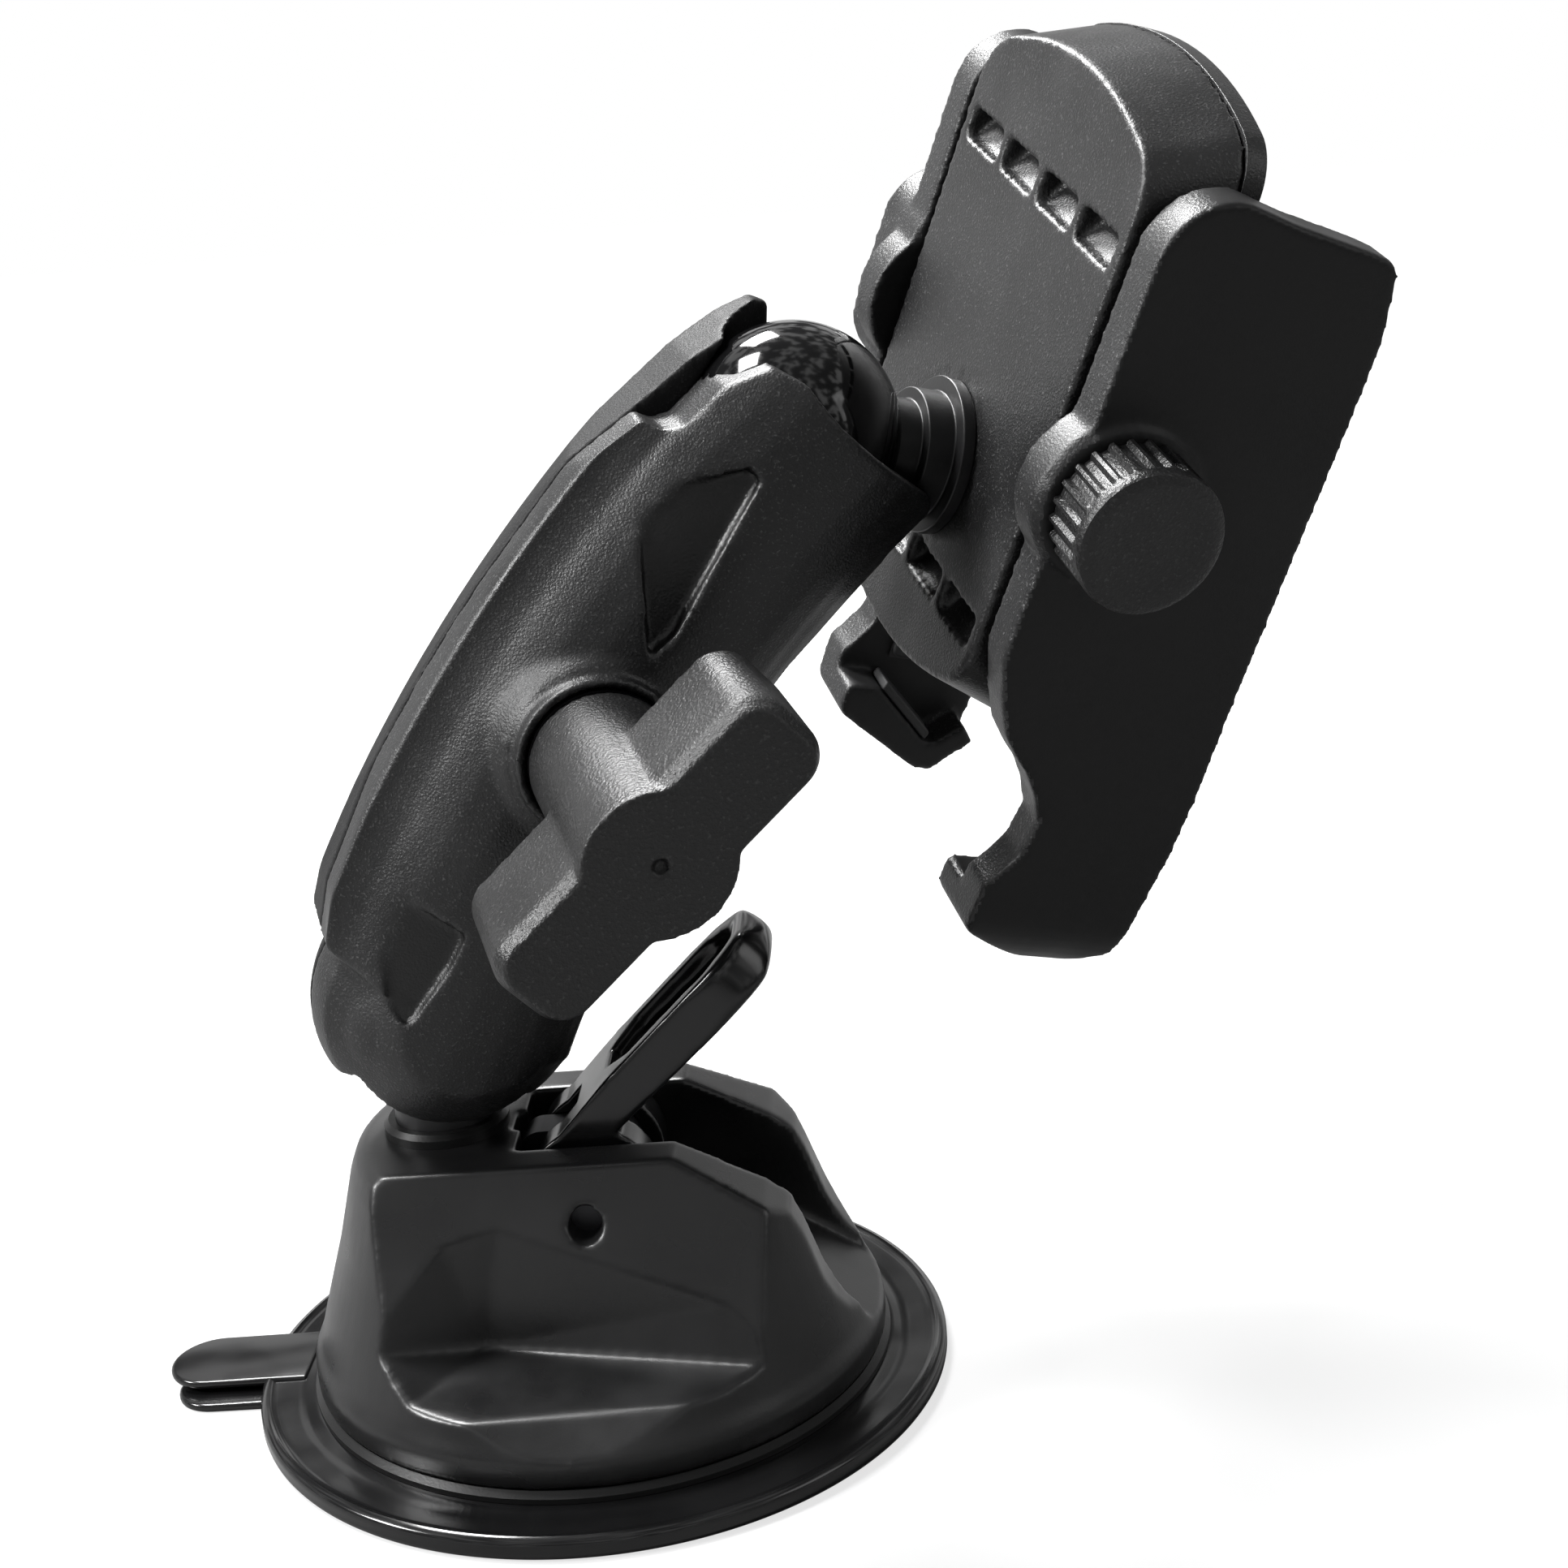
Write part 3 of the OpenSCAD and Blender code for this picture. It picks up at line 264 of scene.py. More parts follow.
SHELL = Finish("shell_grain", "shell_plastic", (0.008, 0.008, 0.0083), 0.4, grain=0.3 * MM, relief=0.1 * MM,
               glint_speck=0.22, hollow=True)
REAR_SHELL = Finish("rear_shell_grain", "shell_plastic", (0.007, 0.007, 0.0073), 0.55, grain=0.3 * MM,
                    relief=0.08 * MM, specular=0.2, glint_speck=0.1)
HOUSING = Finish("housing_satin", "housing_plastic", (0.006, 0.006, 0.0063), 0.31, grain=0.3 * MM, relief=0.012 * MM)
STUD = Finish("stud_satin", "stud_plastic", (0.008, 0.008, 0.0085), 0.4, grain=0.3 * MM, relief=0.014 * MM)
KNOB = Finish("knob_grain", "knob_plastic", (0.006, 0.006, 0.0062), 0.4, grain=0.4 * MM, relief=0.18 * MM,
              glint_speck=0.12)
JAW = Finish("jaw_matte", "jaw_plastic", (0.006, 0.006, 0.0063), 0.5, grain=0.25 * MM, relief=0.012 * MM,
             specular=0.3)
# painted light: a lighter copy of the jaw finish, with painted glints, for the faces that turn towards the lamps; its
# coarser grain is the surface's own
JAW_LIT_BACK = Finish("jaw_back_light_and_grain", "jaw_plastic", (0.012, 0.012, 0.0124), 0.42, grain=0.32 * MM,
                  relief=0.11 * MM, glint_speck=0.3)
GLOSS = Finish("gloss_black", "ball_plastic", (0.003, 0.003, 0.0032), 0.07, Texture.GLOSS, 1.5 * MM, 0.004 * MM,
               edge_highlight=0.1)
LEVER = Finish("lever_gloss", "lever_plastic", (0.004, 0.004, 0.0043), 0.2, Texture.GLOSS, 0.6 * MM, 0.008 * MM)
DISC = Finish("disc_gloss", "disc_rubber", (0.004, 0.004, 0.0042), 0.15, Texture.RUBBER, 2.4 * MM, 0.006 * MM,
              edge_highlight=0.1)
SEAL = Finish("seal_satin", "seal_rubber", (0.004, 0.004, 0.0041), 0.35, Texture.RUBBER, specular=0.3)
PAD = Finish("pad_matte", "pad_rubber", (0.010, 0.010, 0.0105), 0.6, Texture.RUBBER, 0.4 * MM, 0.02 * MM)
STEEL = Finish("turned_steel", "steel", (0.50, 0.50, 0.52), 0.3, Texture.METAL, 0.4 * MM, 0.004 * MM, metallic=1.0)
DARK_STEEL = Finish("blackened_steel", "steel", (0.03, 0.03, 0.032), 0.42, Texture.METAL, 0.4 * MM, 0.004 * MM,
                    metallic=1.0)
SPRING = Finish("spring_wire", "spring_steel", (0.42, 0.42, 0.44), 0.28, Texture.METAL, 0.4 * MM, 0.003 * MM,
                metallic=1.0)
BRASS = Finish("turned_brass", "insert_brass", (0.72, 0.53, 0.24), 0.3, Texture.METAL, 0.4 * MM, 0.004 * MM,
               metallic=1.0)
ACETAL = Finish("gear_acetal", "gear_plastic", (0.62, 0.62, 0.58), 0.4, relief=0.008 * MM)

ARM_PLACE = (Matrix.Translation((-16.5 * MM, 0.0, 51.0 * MM))
             @ Euler([math.radians(v) for v in (103.3, -52.5, 6.1)]).to_matrix().to_4x4())
CLAMP_PLACE = (Matrix.Translation((32.9542 * MM, 5.28513 * MM, 115.817 * MM))
               @ Euler([math.radians(v) for v in (73.0, 18.7, -73.2)]).to_matrix().to_4x4())
ALONG_X = Matrix.Rotation(math.radians(90), 4, "Y")
LEAST_TURN = math.radians(28)
MERGED = 0.002 * MM
PLACE_DIGITS = 7
FLAT_TURN = math.radians(0.6)


def sharpen(mesh: bpy.types.Mesh, degrees: float = 32.0) -> None:
    """Shades a mesh smooth and keeps the edges that turn more than an angle sharp.

    Args:
        mesh: The mesh to shade.
        degrees: The least turn of a sharp edge.
    """
    shape = bmesh.new()
    shape.from_mesh(mesh)
    for face in shape.faces:
        face.smooth = True
    for edge in shape.edges:
        edge.smooth = len(edge.link_faces) == 2 and edge.calc_face_angle(0.0) < math.radians(degrees)
    shape.to_mesh(mesh)
    shape.free()


def in_order(name: str, shape: bmesh.types.BMesh) -> bpy.types.Mesh:
    """Turns a shape into a mesh that lists points and faces by place, so that every run gives the same.

    Args:
        name: The mesh's name.
        shape: The shape, which is freed.

    Returns:
        The new mesh.
    """
    points = sorted(shape.verts, key=lambda point: [round(v, PLACE_DIGITS) for v in point.co])
    number = {point: index for index, point in enumerate(points)}
    rings = [[number[point] for point in face.verts] for face in shape.faces]
    starts = [ring.index(min(ring)) for ring in rings]
    mesh = bpy.data.meshes.new(name)
    mesh.from_pydata([point.co for point in points], [],
                     sorted(ring[start:] + ring[:start] for ring, start in zip(rings, starts)))
    shape.free()
    return mesh


def baked(piece: bpy.types.Object) -> bpy.types.Object:
    """Turns a piece's modifiers into plain mesh.

    Args:
        piece: The piece, with its modifiers.

    Returns:
        The same piece, with the result as its mesh and no modifier.
    """
    graph = bpy.context.evaluated_depsgraph_get()
    mesh = bpy.data.meshes.new_from_object(piece.evaluated_get(graph))
    piece.modifiers.clear()
    piece.data = mesh
    return piece


def linked(name: str, data: bpy.types.ID) -> bpy.types.Object:
    """Adds an object for a mesh, a camera or a lamp to the scene.

    Args:
        name: The object's name.
        data: Its data; a mesh is in the frame's own axes.

    Returns:
        The new object.
    """
    piece = bpy.data.objects.new(name, data)
    bpy.context.scene.collection.objects.link(piece)
    return piece


def body_of(node: str) -> str:
    """The name of the CAD body that a node rides on."""
    return frame["nodes"][node]["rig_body"]


def dress(node: str, finish: Finish) -> bpy.types.Object:
    """Gives a CAD node that stays as it is its finish.

    Args:
        node: The node's name.
        finish: Its finish.

    Returns:
        The node's object.
    """
    piece = frame["nodes"][node]
    piece.data.materials.clear()
    piece.data.materials.append(finish.material())
    LOG.info("%s keeps its solid, finish %s", node, finish.name)
    return piece


def settled(piece: bpy.types.Object, node: str, finish: Finish) -> bpy.types.Object:
    """Puts a finished piece in its node's stead and on its body, with its finish if it has none.

    Args:
        piece: The piece, as plain mesh in the frame's own axes.
        node: The node that it stands for.
        finish: Its main finish.

    Returns:
        The same piece.
    """
    if not piece.data.materials:
        piece.data.materials.append(finish.material())
    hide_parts(node)
    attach(piece, body_of(node))
    LOG.info("%s is made anew, %d faces, finish %s", node, len(piece.data.polygons), finish.name)
    return piece


def copied(node: str) -> bpy.types.Object:
    """Copies a CAD node's mesh to a new piece, with its loose triangles merged to flats.

    Args:
        node: The node's name.

    Returns:
        The new piece, without a finish.
    """
    mesh = frame["nodes"][node].data.copy()
    mesh.materials.clear()
    shape = bmesh.new()
    shape.from_mesh(mesh)
    bmesh.ops.remove_doubles(shape, verts=shape.verts, dist=MERGED)
    bmesh.ops.dissolve_limit(shape, angle_limit=FLAT_TURN, verts=shape.verts, edges=shape.edges)
    shape.to_mesh(mesh)
    shape.free()
    return linked(node + "_dressed", mesh)


def softened(node: str, finish: Finish, width: float) -> bpy.types.Object:
    """Replaces a CAD node with a copy whose edges are rounded as a mould leaves them.

    Args:
        node: The node that the copy stands for.
        finish: The copy's finish.
        width: Width of the rounding in metres.

    Returns:
        The new piece.
    """
    piece = copied(node)
    bevel = piece.modifiers.new("rounding", "BEVEL")
    bevel.width = width
    bevel.segments = 3
    bevel.limit_method = "ANGLE"
    bevel.angle_limit = LEAST_TURN
    bevel.miter_outer = "MITER_ARC"
    bevel.use_clamp_overlap = True
    bevel.harden_normals = False
    baked(piece)
    sharpen(piece.data, MOULD_CREASE)
    even = piece.modifiers.new("even_flats", "WEIGHTED_NORMAL")
    even.mode = "FACE_AREA"
    even.weight = 60
    even.keep_sharp = True
    baked(piece)
    return settled(piece, node, finish)


def moulded(node: str, finish: Finish, voxel: float, passes: int,
            reshape: Callable[[Vector], Vector] | None = None,
            melt: Callable[[Vector], float] | None = None, melt_passes: int = 40,
            calm: Callable[[Vector], float] | None = None) -> bpy.types.Object:
    """Replaces a CAD node with a copy whose edges and inner corners all flow together.

    Args:
        node: The node that the copy stands for.
        finish: The copy's finish.
        voxel: Size of the even grid that the copy is cast on, in metres.
        passes: How often its points are drawn towards their neighbours.
        reshape: Gives each point of the grid its new place, if any moves.
        melt: Gives each point's share of a second, longer smoothing.
        melt_passes: How long that smoothing goes on.
        calm: Gives each point's share of the main smoothing, if not all of it.

    Returns:
        The new piece.
    """
    piece = copied(node)
    cast = piece.modifiers.new("cast", "REMESH")
    cast.mode = "VOXEL"
    cast.voxel_size = voxel
    if reshape:
        baked(piece)
        for point in piece.data.vertices:
            point.co = reshape(point.co)
    if melt or calm:
        baked(piece)
    for name, rule, rounds in (("melt", melt, melt_passes), ("flow", calm, passes)):
        if rule or name == "flow":
            ease = piece.modifiers.new(name, "SMOOTH")
            ease.factor = 0.5
            ease.iterations = rounds
        if rule:
            group = piece.vertex_groups.new(name=name)
            for point in piece.data.vertices:
                group.add([point.index], rule(point.co), "REPLACE")
            ease.vertex_group = name
    baked(piece)
    piece.vertex_groups.clear()
    piece.data.shade_smooth()
    return settled(piece, node, finish)


class Recipe(Graph):
    """A Geometry Nodes tree with named sizes, whose result is kept as plain mesh."""

    def __init__(self, title: str, sizes: dict[str, float | int]) -> None:
        """Starts the tree with its inputs.

        Args:
            title: The tree's name.
            sizes: Names of the inputs, with their usual values.
        """
        super().__init__(bpy.data.node_groups.new(title, "GeometryNodeTree"))
        face = self.tree.interface
        face.new_socket("Geometry", in_out="OUTPUT", socket_type="NodeSocketGeometry")
        face.new_socket("Places", in_out="INPUT", socket_type="NodeSocketGeometry")
        for label, value in sizes.items():
            kind = "NodeSocketInt" if isinstance(value, int) else "NodeSocketFloat"
            face.new_socket(label, in_out="INPUT", socket_type=kind).default_value = value
        face.new_socket("Finish", in_out="INPUT", socket_type="NodeSocketMaterial")
        self.given = self.tree.nodes.new("NodeGroupInput").outputs

    def ramp(self, value: object, low: object, high: object) -> bpy.types.NodeSocket:
        """Adds a smooth step, 0 up to one bound and 1 from the other on."""
        return self.spread(value, (low, high), interpolation_type="SMOOTHSTEP")

    def fall(self, value: object, low: object, high: object) -> bpy.types.NodeSocket:
        """Adds a smooth step down, 1 up to one bound and 0 from the other on."""
        return self.less(1.0, self.ramp(value, low, high))

    def rounding(self, value: object, end: object, size: object) -> bpy.types.NodeSocket:
        """How far a quarter-round draws in, from 0 at its start to 1 at its end.

        Args:
            value: What is read.
            end: Where the quarter-round ends.
            size: Its radius.

        Returns:
            The share of its radius.
        """
        near = self.sum("MAXIMUM", self.over(self.less(value, self.less(end, size)), size), 0.0)
        left = self.sum("MAXIMUM", self.less(1.0, self.times(near, near)), 0.0)
        return self.less(1.0, self.sum("SQRT", left))

    def points(self) -> tuple[bpy.types.NodeSocket, ...]:
        """The points' place, its three parts and their distance from the axis."""
        place = self.node("GeometryNodeInputPosition", {})
        x, y, z = self.node("ShaderNodeSeparateXYZ", {0: place}).node.outputs
        return place, x, y, z, self.sum("SQRT", self.sum("ADD", self.times(x, x), self.times(y, y)))

    def vector(self, x: object = 0.0, y: object = 0.0, z: object = 0.0) -> bpy.types.NodeSocket:
        """Makes a vector of its three parts."""
        return self.node("ShaderNodeCombineXYZ", {0: x, 1: y, 2: z})

    def moved(self, geometry: bpy.types.NodeSocket, **way: object) -> bpy.types.NodeSocket:
        """Moves a geometry by the named parts of a way."""
        return self.node("GeometryNodeTransform", {"Geometry": geometry, "Translation": self.vector(**way)})

    def joined(self, first: bpy.types.NodeSocket, second: bpy.types.NodeSocket) -> bpy.types.NodeSocket:
        """Joins two geometries to one."""
        both = self.node("GeometryNodeJoinGeometry", {0: first})
        self.tree.links.new(second, both.node.inputs[0])
        return both

    def close(self, geometry: bpy.types.NodeSocket) -> "Recipe":
        """Ends the tree in real mesh with its finish.

        Args:
            geometry: What the tree has made.

        Returns:
            This recipe.
        """
        real = self.node("GeometryNodeRealizeInstances", {"Geometry": geometry})
        dressed = self.node("GeometryNodeSetMaterial", {"Geometry": real, "Material": self.given["Finish"]})
        end = self.tree.nodes.new("NodeGroupOutput")
        self.tree.links.new(dressed, end.inputs[0])
        return self

    def make(self, name: str, finish: Finish, place: Matrix, sizes: dict[str, float | int],
             spots: Iterable[tuple[float, float, float]] = ((0.0, 0.0, 0.0),)) -> bpy.types.Object:
        """Runs the tree once and keeps the result as plain mesh.

        Args:
            name: The new piece's name.
            finish: Its finish.
            place: Where the result goes, from its own axes to the frame's.
            sizes: Values that differ from the usual ones.
            spots: Points that the tree may put things on.

        Returns:
            The new piece, in the frame's own axes.
        """
        base = bpy.data.meshes.new(name)
        base.from_pydata(list(spots), [], [])
        piece = linked(name, base)
        steps = piece.modifiers.new("recipe", "NODES")
        steps.node_group = self.tree
        wanted = dict(sizes)
        for item in self.tree.interface.items_tree:
            if item.in_out == "INPUT" and item.name == "Finish":
                steps[item.identifier] = finish.material()
            elif item.in_out == "INPUT" and item.name != "Places":
                steps[item.identifier] = wanted.pop(item.name, item.default_value)
        if wanted:
            raise ValueError(f"{name} has no size named {sorted(wanted)}")
        baked(piece)
        piece.data.transform(place)
        piece.data.materials.clear()
        piece.data.materials.append(finish.material())
        piece.data.polygons.foreach_set("material_index", [0] * len(piece.data.polygons))
        sharpen(piece.data, RECIPE_CREASE)
        return piece


def fluted_dial() -> Recipe:
    """A turned dial with ribs behind a plain rim and a dished face.

    Returns:
        The recipe.
    """
    made = Recipe("fluted_dial", {"Radius": 8.4 * MM, "Length": 8.5 * MM, "Ribs": 24, "Rib depth": 0.55 * MM,
                                  "Rim": 1.7 * MM, "Rounding": 0.9 * MM, "Dish": 0.25 * MM})
    radius, length, ribs = (made.given[label] for label in ("Radius", "Length", "Ribs"))
    rim, rounding = made.given["Rim"], made.given["Rounding"]
    rib_points, rib_flank, rib_end, face_edge = 10.0, (-0.15, 0.75), 1.3, (0.72, 0.8)
    body = made.node("GeometryNodeMeshCylinder", {"Vertices": made.times(ribs, rib_points), "Side Segments": 24,
                                                  "Fill Segments": 9, "Radius": radius, "Depth": length}, "Mesh")
    _, x, y, z, away = made.points()
    top = made.times(length, 0.5)
    groove = made.fall(made.sum("COSINE", made.times(made.sum("ARCTAN2", y, x), ribs)), *rib_flank)
    behind = made.fall(z, made.less(top, made.times(rim, rib_end)), made.less(top, rim))
    cut = made.times(groove, behind, made.over(made.given["Rib depth"], radius))
    turned = made.times(made.rounding(z, top, rounding), made.over(rounding, radius))
    scale = made.less(1.0, made.sum("ADD", cut, turned))
    face = made.fall(made.over(away, radius), *face_edge)
    dish = made.times(face, made.ramp(z, 0.0, made.times(top, 0.99)), made.given["Dish"])
    at = made.vector(made.times(x, scale), made.times(y, scale), made.less(z, dish))
    return made.close(made.node("GeometryNodeSetPosition", {"Geometry": body, "Position": at}))


def wound_wire() -> Recipe:
    """A wire wound to a coil.

    Returns:
        The recipe.
    """
    made = Recipe("wound_wire", {"Coil radius": 4.6 * MM, "Wire radius": 0.55 * MM, "Height": 12.9 * MM, "Turns": 5.0,
                                 "Points a turn": 28, "Sides": 8})
    path = made.node("GeometryNodeCurveSpiral",
                     {"Resolution": made.given["Points a turn"], "Rotations": made.given["Turns"],
                      "Start Radius": made.given["Coil radius"], "End Radius": made.given["Coil radius"],
                      "Height": made.given["Height"]})
    wire = made.node("GeometryNodeCurvePrimitiveCircle",
                     {"Resolution": made.given["Sides"], "Radius": made.given["Wire radius"]})
    return made.close(made.node("GeometryNodeCurveToMesh", {"Curve": path, "Profile Curve": wire, "Fill Caps": True}))


def crossed_screws() -> Recipe:
    """Pan head screws with a cross recess, one at each spot, each turned by its own angle.

    Returns:
        The recipe.
    """
    made = Recipe("crossed_screws", {"Head radius": 2.2 * MM, "Head height": 1.2 * MM, "Shank radius": 1.1 * MM,
                                     "Shank length": 4.0 * MM, "Recess": 0.5 * MM})
    head_r, head_h, shank_l = (made.given[label] for label in ("Head radius", "Head height", "Shank length"))
    head = made.node("GeometryNodeMeshCylinder", {"Vertices": 32, "Radius": head_r, "Depth": head_h}, "Mesh")
    length, depth = made.times(head_r, 1.15), made.times(head_h, 1.2)
    slot = made.node("GeometryNodeMeshCube", {"Size": made.vector(length, made.given["Recess"], depth)}, "Mesh")
    slot = made.moved(slot, z=head_h)
    across = made.node("GeometryNodeTransform", {"Geometry": slot, "Rotation": (0.0, 0.0, math.pi / 2)})
    cut = made.node("GeometryNodeMeshBoolean", {0: made.moved(head, z=made.times(head_h, 0.5)), 1: slot},
                    operation="DIFFERENCE")
    made.tree.links.new(across, cut.node.inputs[1])
    shank = made.node("GeometryNodeMeshCylinder", {"Vertices": 24, "Radius": made.given["Shank radius"],
                                                   "Depth": shank_l}, "Mesh")
    screw = made.joined(cut, made.moved(shank, z=made.times(shank_l, -0.5)))
    spin = made.node("FunctionNodeRandomValue", {"Min": (0.0, 0.0, 0.0), "Max": (0.0, 0.0, 1.5), "Seed": 7},
                     data_type="FLOAT_VECTOR")
    return made.close(made.node("GeometryNodeInstanceOnPoints", {"Points": made.given["Places"], "Instance": screw,
                                                                 "Rotation": spin}))


def lobed_pad() -> Recipe:
    """A rubber strip with a row of rounded lobes.

    Returns:
        The recipe.
    """
    made = Recipe("lobed_pad", {"Lobes": 7, "Pitch": 11.286 * MM, "Width": 11.0 * MM, "Depth": 1.3 * MM,
                                "Backing": 0.5 * MM})
    lobes, pitch, width, depth, backing = (made.given[label]
                                           for label in ("Lobes", "Pitch", "Width", "Depth", "Backing"))
    lobe = made.node("GeometryNodeMeshCube", {"Size": made.vector(depth, made.times(pitch, 0.93), width),
                                              "Vertices X": 3, "Vertices Y": 7, "Vertices Z": 7}, "Mesh")
    lobe = made.node("GeometryNodeSubdivisionSurface", {"Mesh": lobe, "Level": 2})
    first = made.vector(made.times(depth, 0.5), made.times(made.less(lobes, 1.0), made.times(pitch, -0.5)))
    line = made.node("GeometryNodeMeshLine", {"Count": lobes, "Start Location": first, "Offset": made.vector(y=pitch)})
    row = made.node("GeometryNodeInstanceOnPoints", {"Points": line, "Instance": lobe})
    strip = made.node("GeometryNodeMeshCube", {"Size": made.vector(backing, made.times(pitch, lobes), width)}, "Mesh")
    return made.close(made.joined(row, made.moved(strip, x=made.less(depth, made.times(backing, 0.5)))))


def turned_disc() -> Recipe:
    """A suction disc that follows one rule: a flat face with a thin lip, rippled between two radii.

    Returns:
        The recipe.
    """
    made = Recipe("turned_disc", {"Radius": 43.5 * MM, "Thickness": 2.8 * MM, "Edge": 0.9 * MM, "Lip": 0.35 * MM,
                                  "Ripple": 0.3 * MM, "Ripple size": 11.0 * MM, "Still within": 36.0 * MM})
    radius, thick, edge, still = (made.given[label] for label in ("Radius", "Thickness", "Edge", "Still within"))
    body = made.node("GeometryNodeMeshCylinder", {"Vertices": 256, "Side Segments": 10, "Fill Segments": 60,
                                                  "Radius": radius, "Depth": thick}, "Mesh")
    place, x, y, z, away = made.points()
    crest, rim_width, lip_fade, edge_fade = 0.75, 1.5, 3.0, 2.0
    half = made.times(thick, 0.5)
    curve = made.rounding(made.sum("ABSOLUTE", z), half, edge)
    rim = made.ramp(away, made.less(radius, made.times(edge, rim_width)), radius)
    scale = made.less(1.0, made.times(curve, rim, made.over(edge, radius)))
    above = made.sum("GREATER_THAN", z, made.times(half, 0.9))
    noise = made.node("ShaderNodeTexNoise", {"Vector": place, "Scale": made.over(1.0, made.given["Ripple size"]),
                                             "Detail": 1.0})
    outer = made.ramp(away, still, made.sum("ADD", still, made.times(edge, lip_fade)))
    inner = made.fall(away, made.less(radius, made.times(edge, edge_fade)), radius)
    span = made.times(outer, inner)
    wave = made.times(made.less(noise, crest), made.given["Ripple"], span)
    hollow = made.times(span, made.given["Lip"], -1.0)
    lift = made.times(above, made.sum("ADD", wave, hollow))
    at = made.vector(made.times(x, scale), made.times(y, scale), made.sum("ADD", made.sum("ADD", z, lift), half))
    return made.close(made.node("GeometryNodeSetPosition", {"Geometry": body, "Position": at}))


@dataclass
class Studio:
    """Plain floor, soft lamps and the camera at the photograph's angle."""

    camera_place: tuple[float, float, float] = (41.22 * MM, -270.42 * MM, 153.32 * MM)
    heading: float = 0.046
    dip: float = 0.282
    roll: float = 0.085
    focal_share: float = 2925.478 / 1932
    sensor: float = 36.0
    floor_half: float = 3.0
    floor_grey: float = 0.25
    floor_glow: float = 0.72
    floor_fade: tuple[float, float] = (0.10, 0.45)
    world_grey: float = 0.2
    overhead: float = 0.1
    window: float = 1.0
    window_edge: tuple[float, float] = (0.48, 0.6)
    room_scale: float = 8.0
    backdrop_top: tuple[float, float] = (0.25, 0.12)
    backdrop_front: tuple[float, float] = (0.1, 0.6)
    middle: tuple[float, float, float] = (0.02, 0.0, 0.08)
    lamps: tuple[tuple[str, tuple[float, float, float], float, float], ...] = (
        ("key", (-0.66, -0.18, 0.50), 0.2, 6.5), ("top", (-0.32, 0.12, 0.76), 0.2, 8.0),
        ("back", (-0.14, 0.44, 0.66), 0.2, 7.0), ("side", (0.60, -0.20, 0.36), 0.3, 0.4))

    def camera(self) -> None:
        """Places the camera from its heading, dip and roll."""
        fwd = Vector((-math.sin(self.heading) * math.cos(self.dip),
                      math.cos(self.heading) * math.cos(self.dip), -math.sin(self.dip)))
        side = Vector((math.cos(self.heading), math.sin(self.heading), 0.0))
        down = fwd.cross(side)
        right = math.cos(self.roll) * side + math.sin(self.roll) * down
        below = -math.sin(self.roll) * side + math.cos(self.roll) * down
        turn = Matrix((right, -below, -fwd)).transposed().to_4x4()
        data = bpy.data.cameras.new("camera")
        data.sensor_width = self.sensor
        data.lens = self.focal_share * self.sensor
        data.clip_start = 0.01
        camera = linked("camera", data)
        camera.matrix_world = Matrix.Translation(self.camera_place) @ turn
        bpy.context.scene.camera = camera

    def floor(self) -> None:
        """Lays a white floor that keeps the holder's shadow."""
        half = self.floor_half
        mesh = bpy.data.meshes.new("floor")
        mesh.from_pydata([(-half, -half, 0), (half, -half, 0), (half, half, 0), (-half, half, 0)], [], [(0, 1, 2, 3)])
        floor = linked("floor", mesh)
        made = bpy.data.materials.new("floor_white")
        made.use_nodes = True
        graph = Graph(made.node_tree)
        place = graph.node("ShaderNodeTexCoord", {}, "Object")
        away = graph.node("ShaderNodeVectorMath", {0: place}, "Value", operation="LENGTH")
        seen = graph.node("ShaderNodeLightPath", {}, "Is Camera Ray")
        glow = graph.times(seen, graph.spread(away, self.floor_fade, self.floor_glow))
        shader = graph.tree.nodes["Principled BSDF"]
        graph.tree.links.new(glow, shader.inputs["Emission Strength"])
        for name, value in (("Base Color", (*[self.floor_grey] * 3, 1.0)), ("Roughness", 0.9),
                            ("Specular IOR Level", 0.0), ("Emission Color", WHITE)):
            shader.inputs[name].default_value = value
        floor.data.materials.append(made)

    def world(self) -> None:
        """Sets a plain grey world that looks white to the camera and behind the holder, and darker elsewhere."""
        world = bpy.data.worlds.new("studio")
        bpy.context.scene.world = world
        world.use_nodes = True
        graph = Graph(world.node_tree)
        seen, gloss, clear = (graph.node("ShaderNodeLightPath", {}, f"Is {ray} Ray")
                              for ray in ("Camera", "Glossy", "Transmission"))
        place = graph.node("ShaderNodeTexCoord", {}, "Generated")
        _, depth, height = graph.node("ShaderNodeSeparateXYZ", {0: place}).node.outputs
        behind = graph.times(graph.spread(height, self.backdrop_top), graph.spread(depth, self.backdrop_front))
        room = graph.node("ShaderNodeTexNoise", {"Vector": place, "Scale": self.room_scale, "Detail": 1.0}, "Fac")
        windows = graph.spread(room, self.window_edge, self.overhead, self.window)
        bright = graph.spread(graph.sum("MAXIMUM", seen, behind), low=windows)
        direct = graph.sum("MAXIMUM", graph.sum("MAXIMUM", seen, gloss), clear)
        strength = graph.spread(direct, low=self.world_grey, high=bright)
        sky = graph.tree.nodes["Background"]
        graph.tree.links.new(strength, sky.inputs["Strength"])
        sky.inputs["Color"].default_value = WHITE

    def lamp(self, name: str, place: tuple[float, float, float], size: float, watts: float) -> None:
        """Hangs a square soft lamp that faces the holder's middle.

        Args:
            name: The lamp's name.
            place: Where it hangs, in metres.
            size: The side of its square.
            watts: Its power.
        """
        data = bpy.data.lights.new(name, "AREA")
        data.shape = "SQUARE"
        data.size = size
        data.energy = watts
        lamp = linked(name, data)
        lamp.location = place
        lamp.rotation_mode = "QUATERNION"
        lamp.rotation_quaternion = (Vector(self.middle) - Vector(place)).to_track_quat("-Z", "Y")

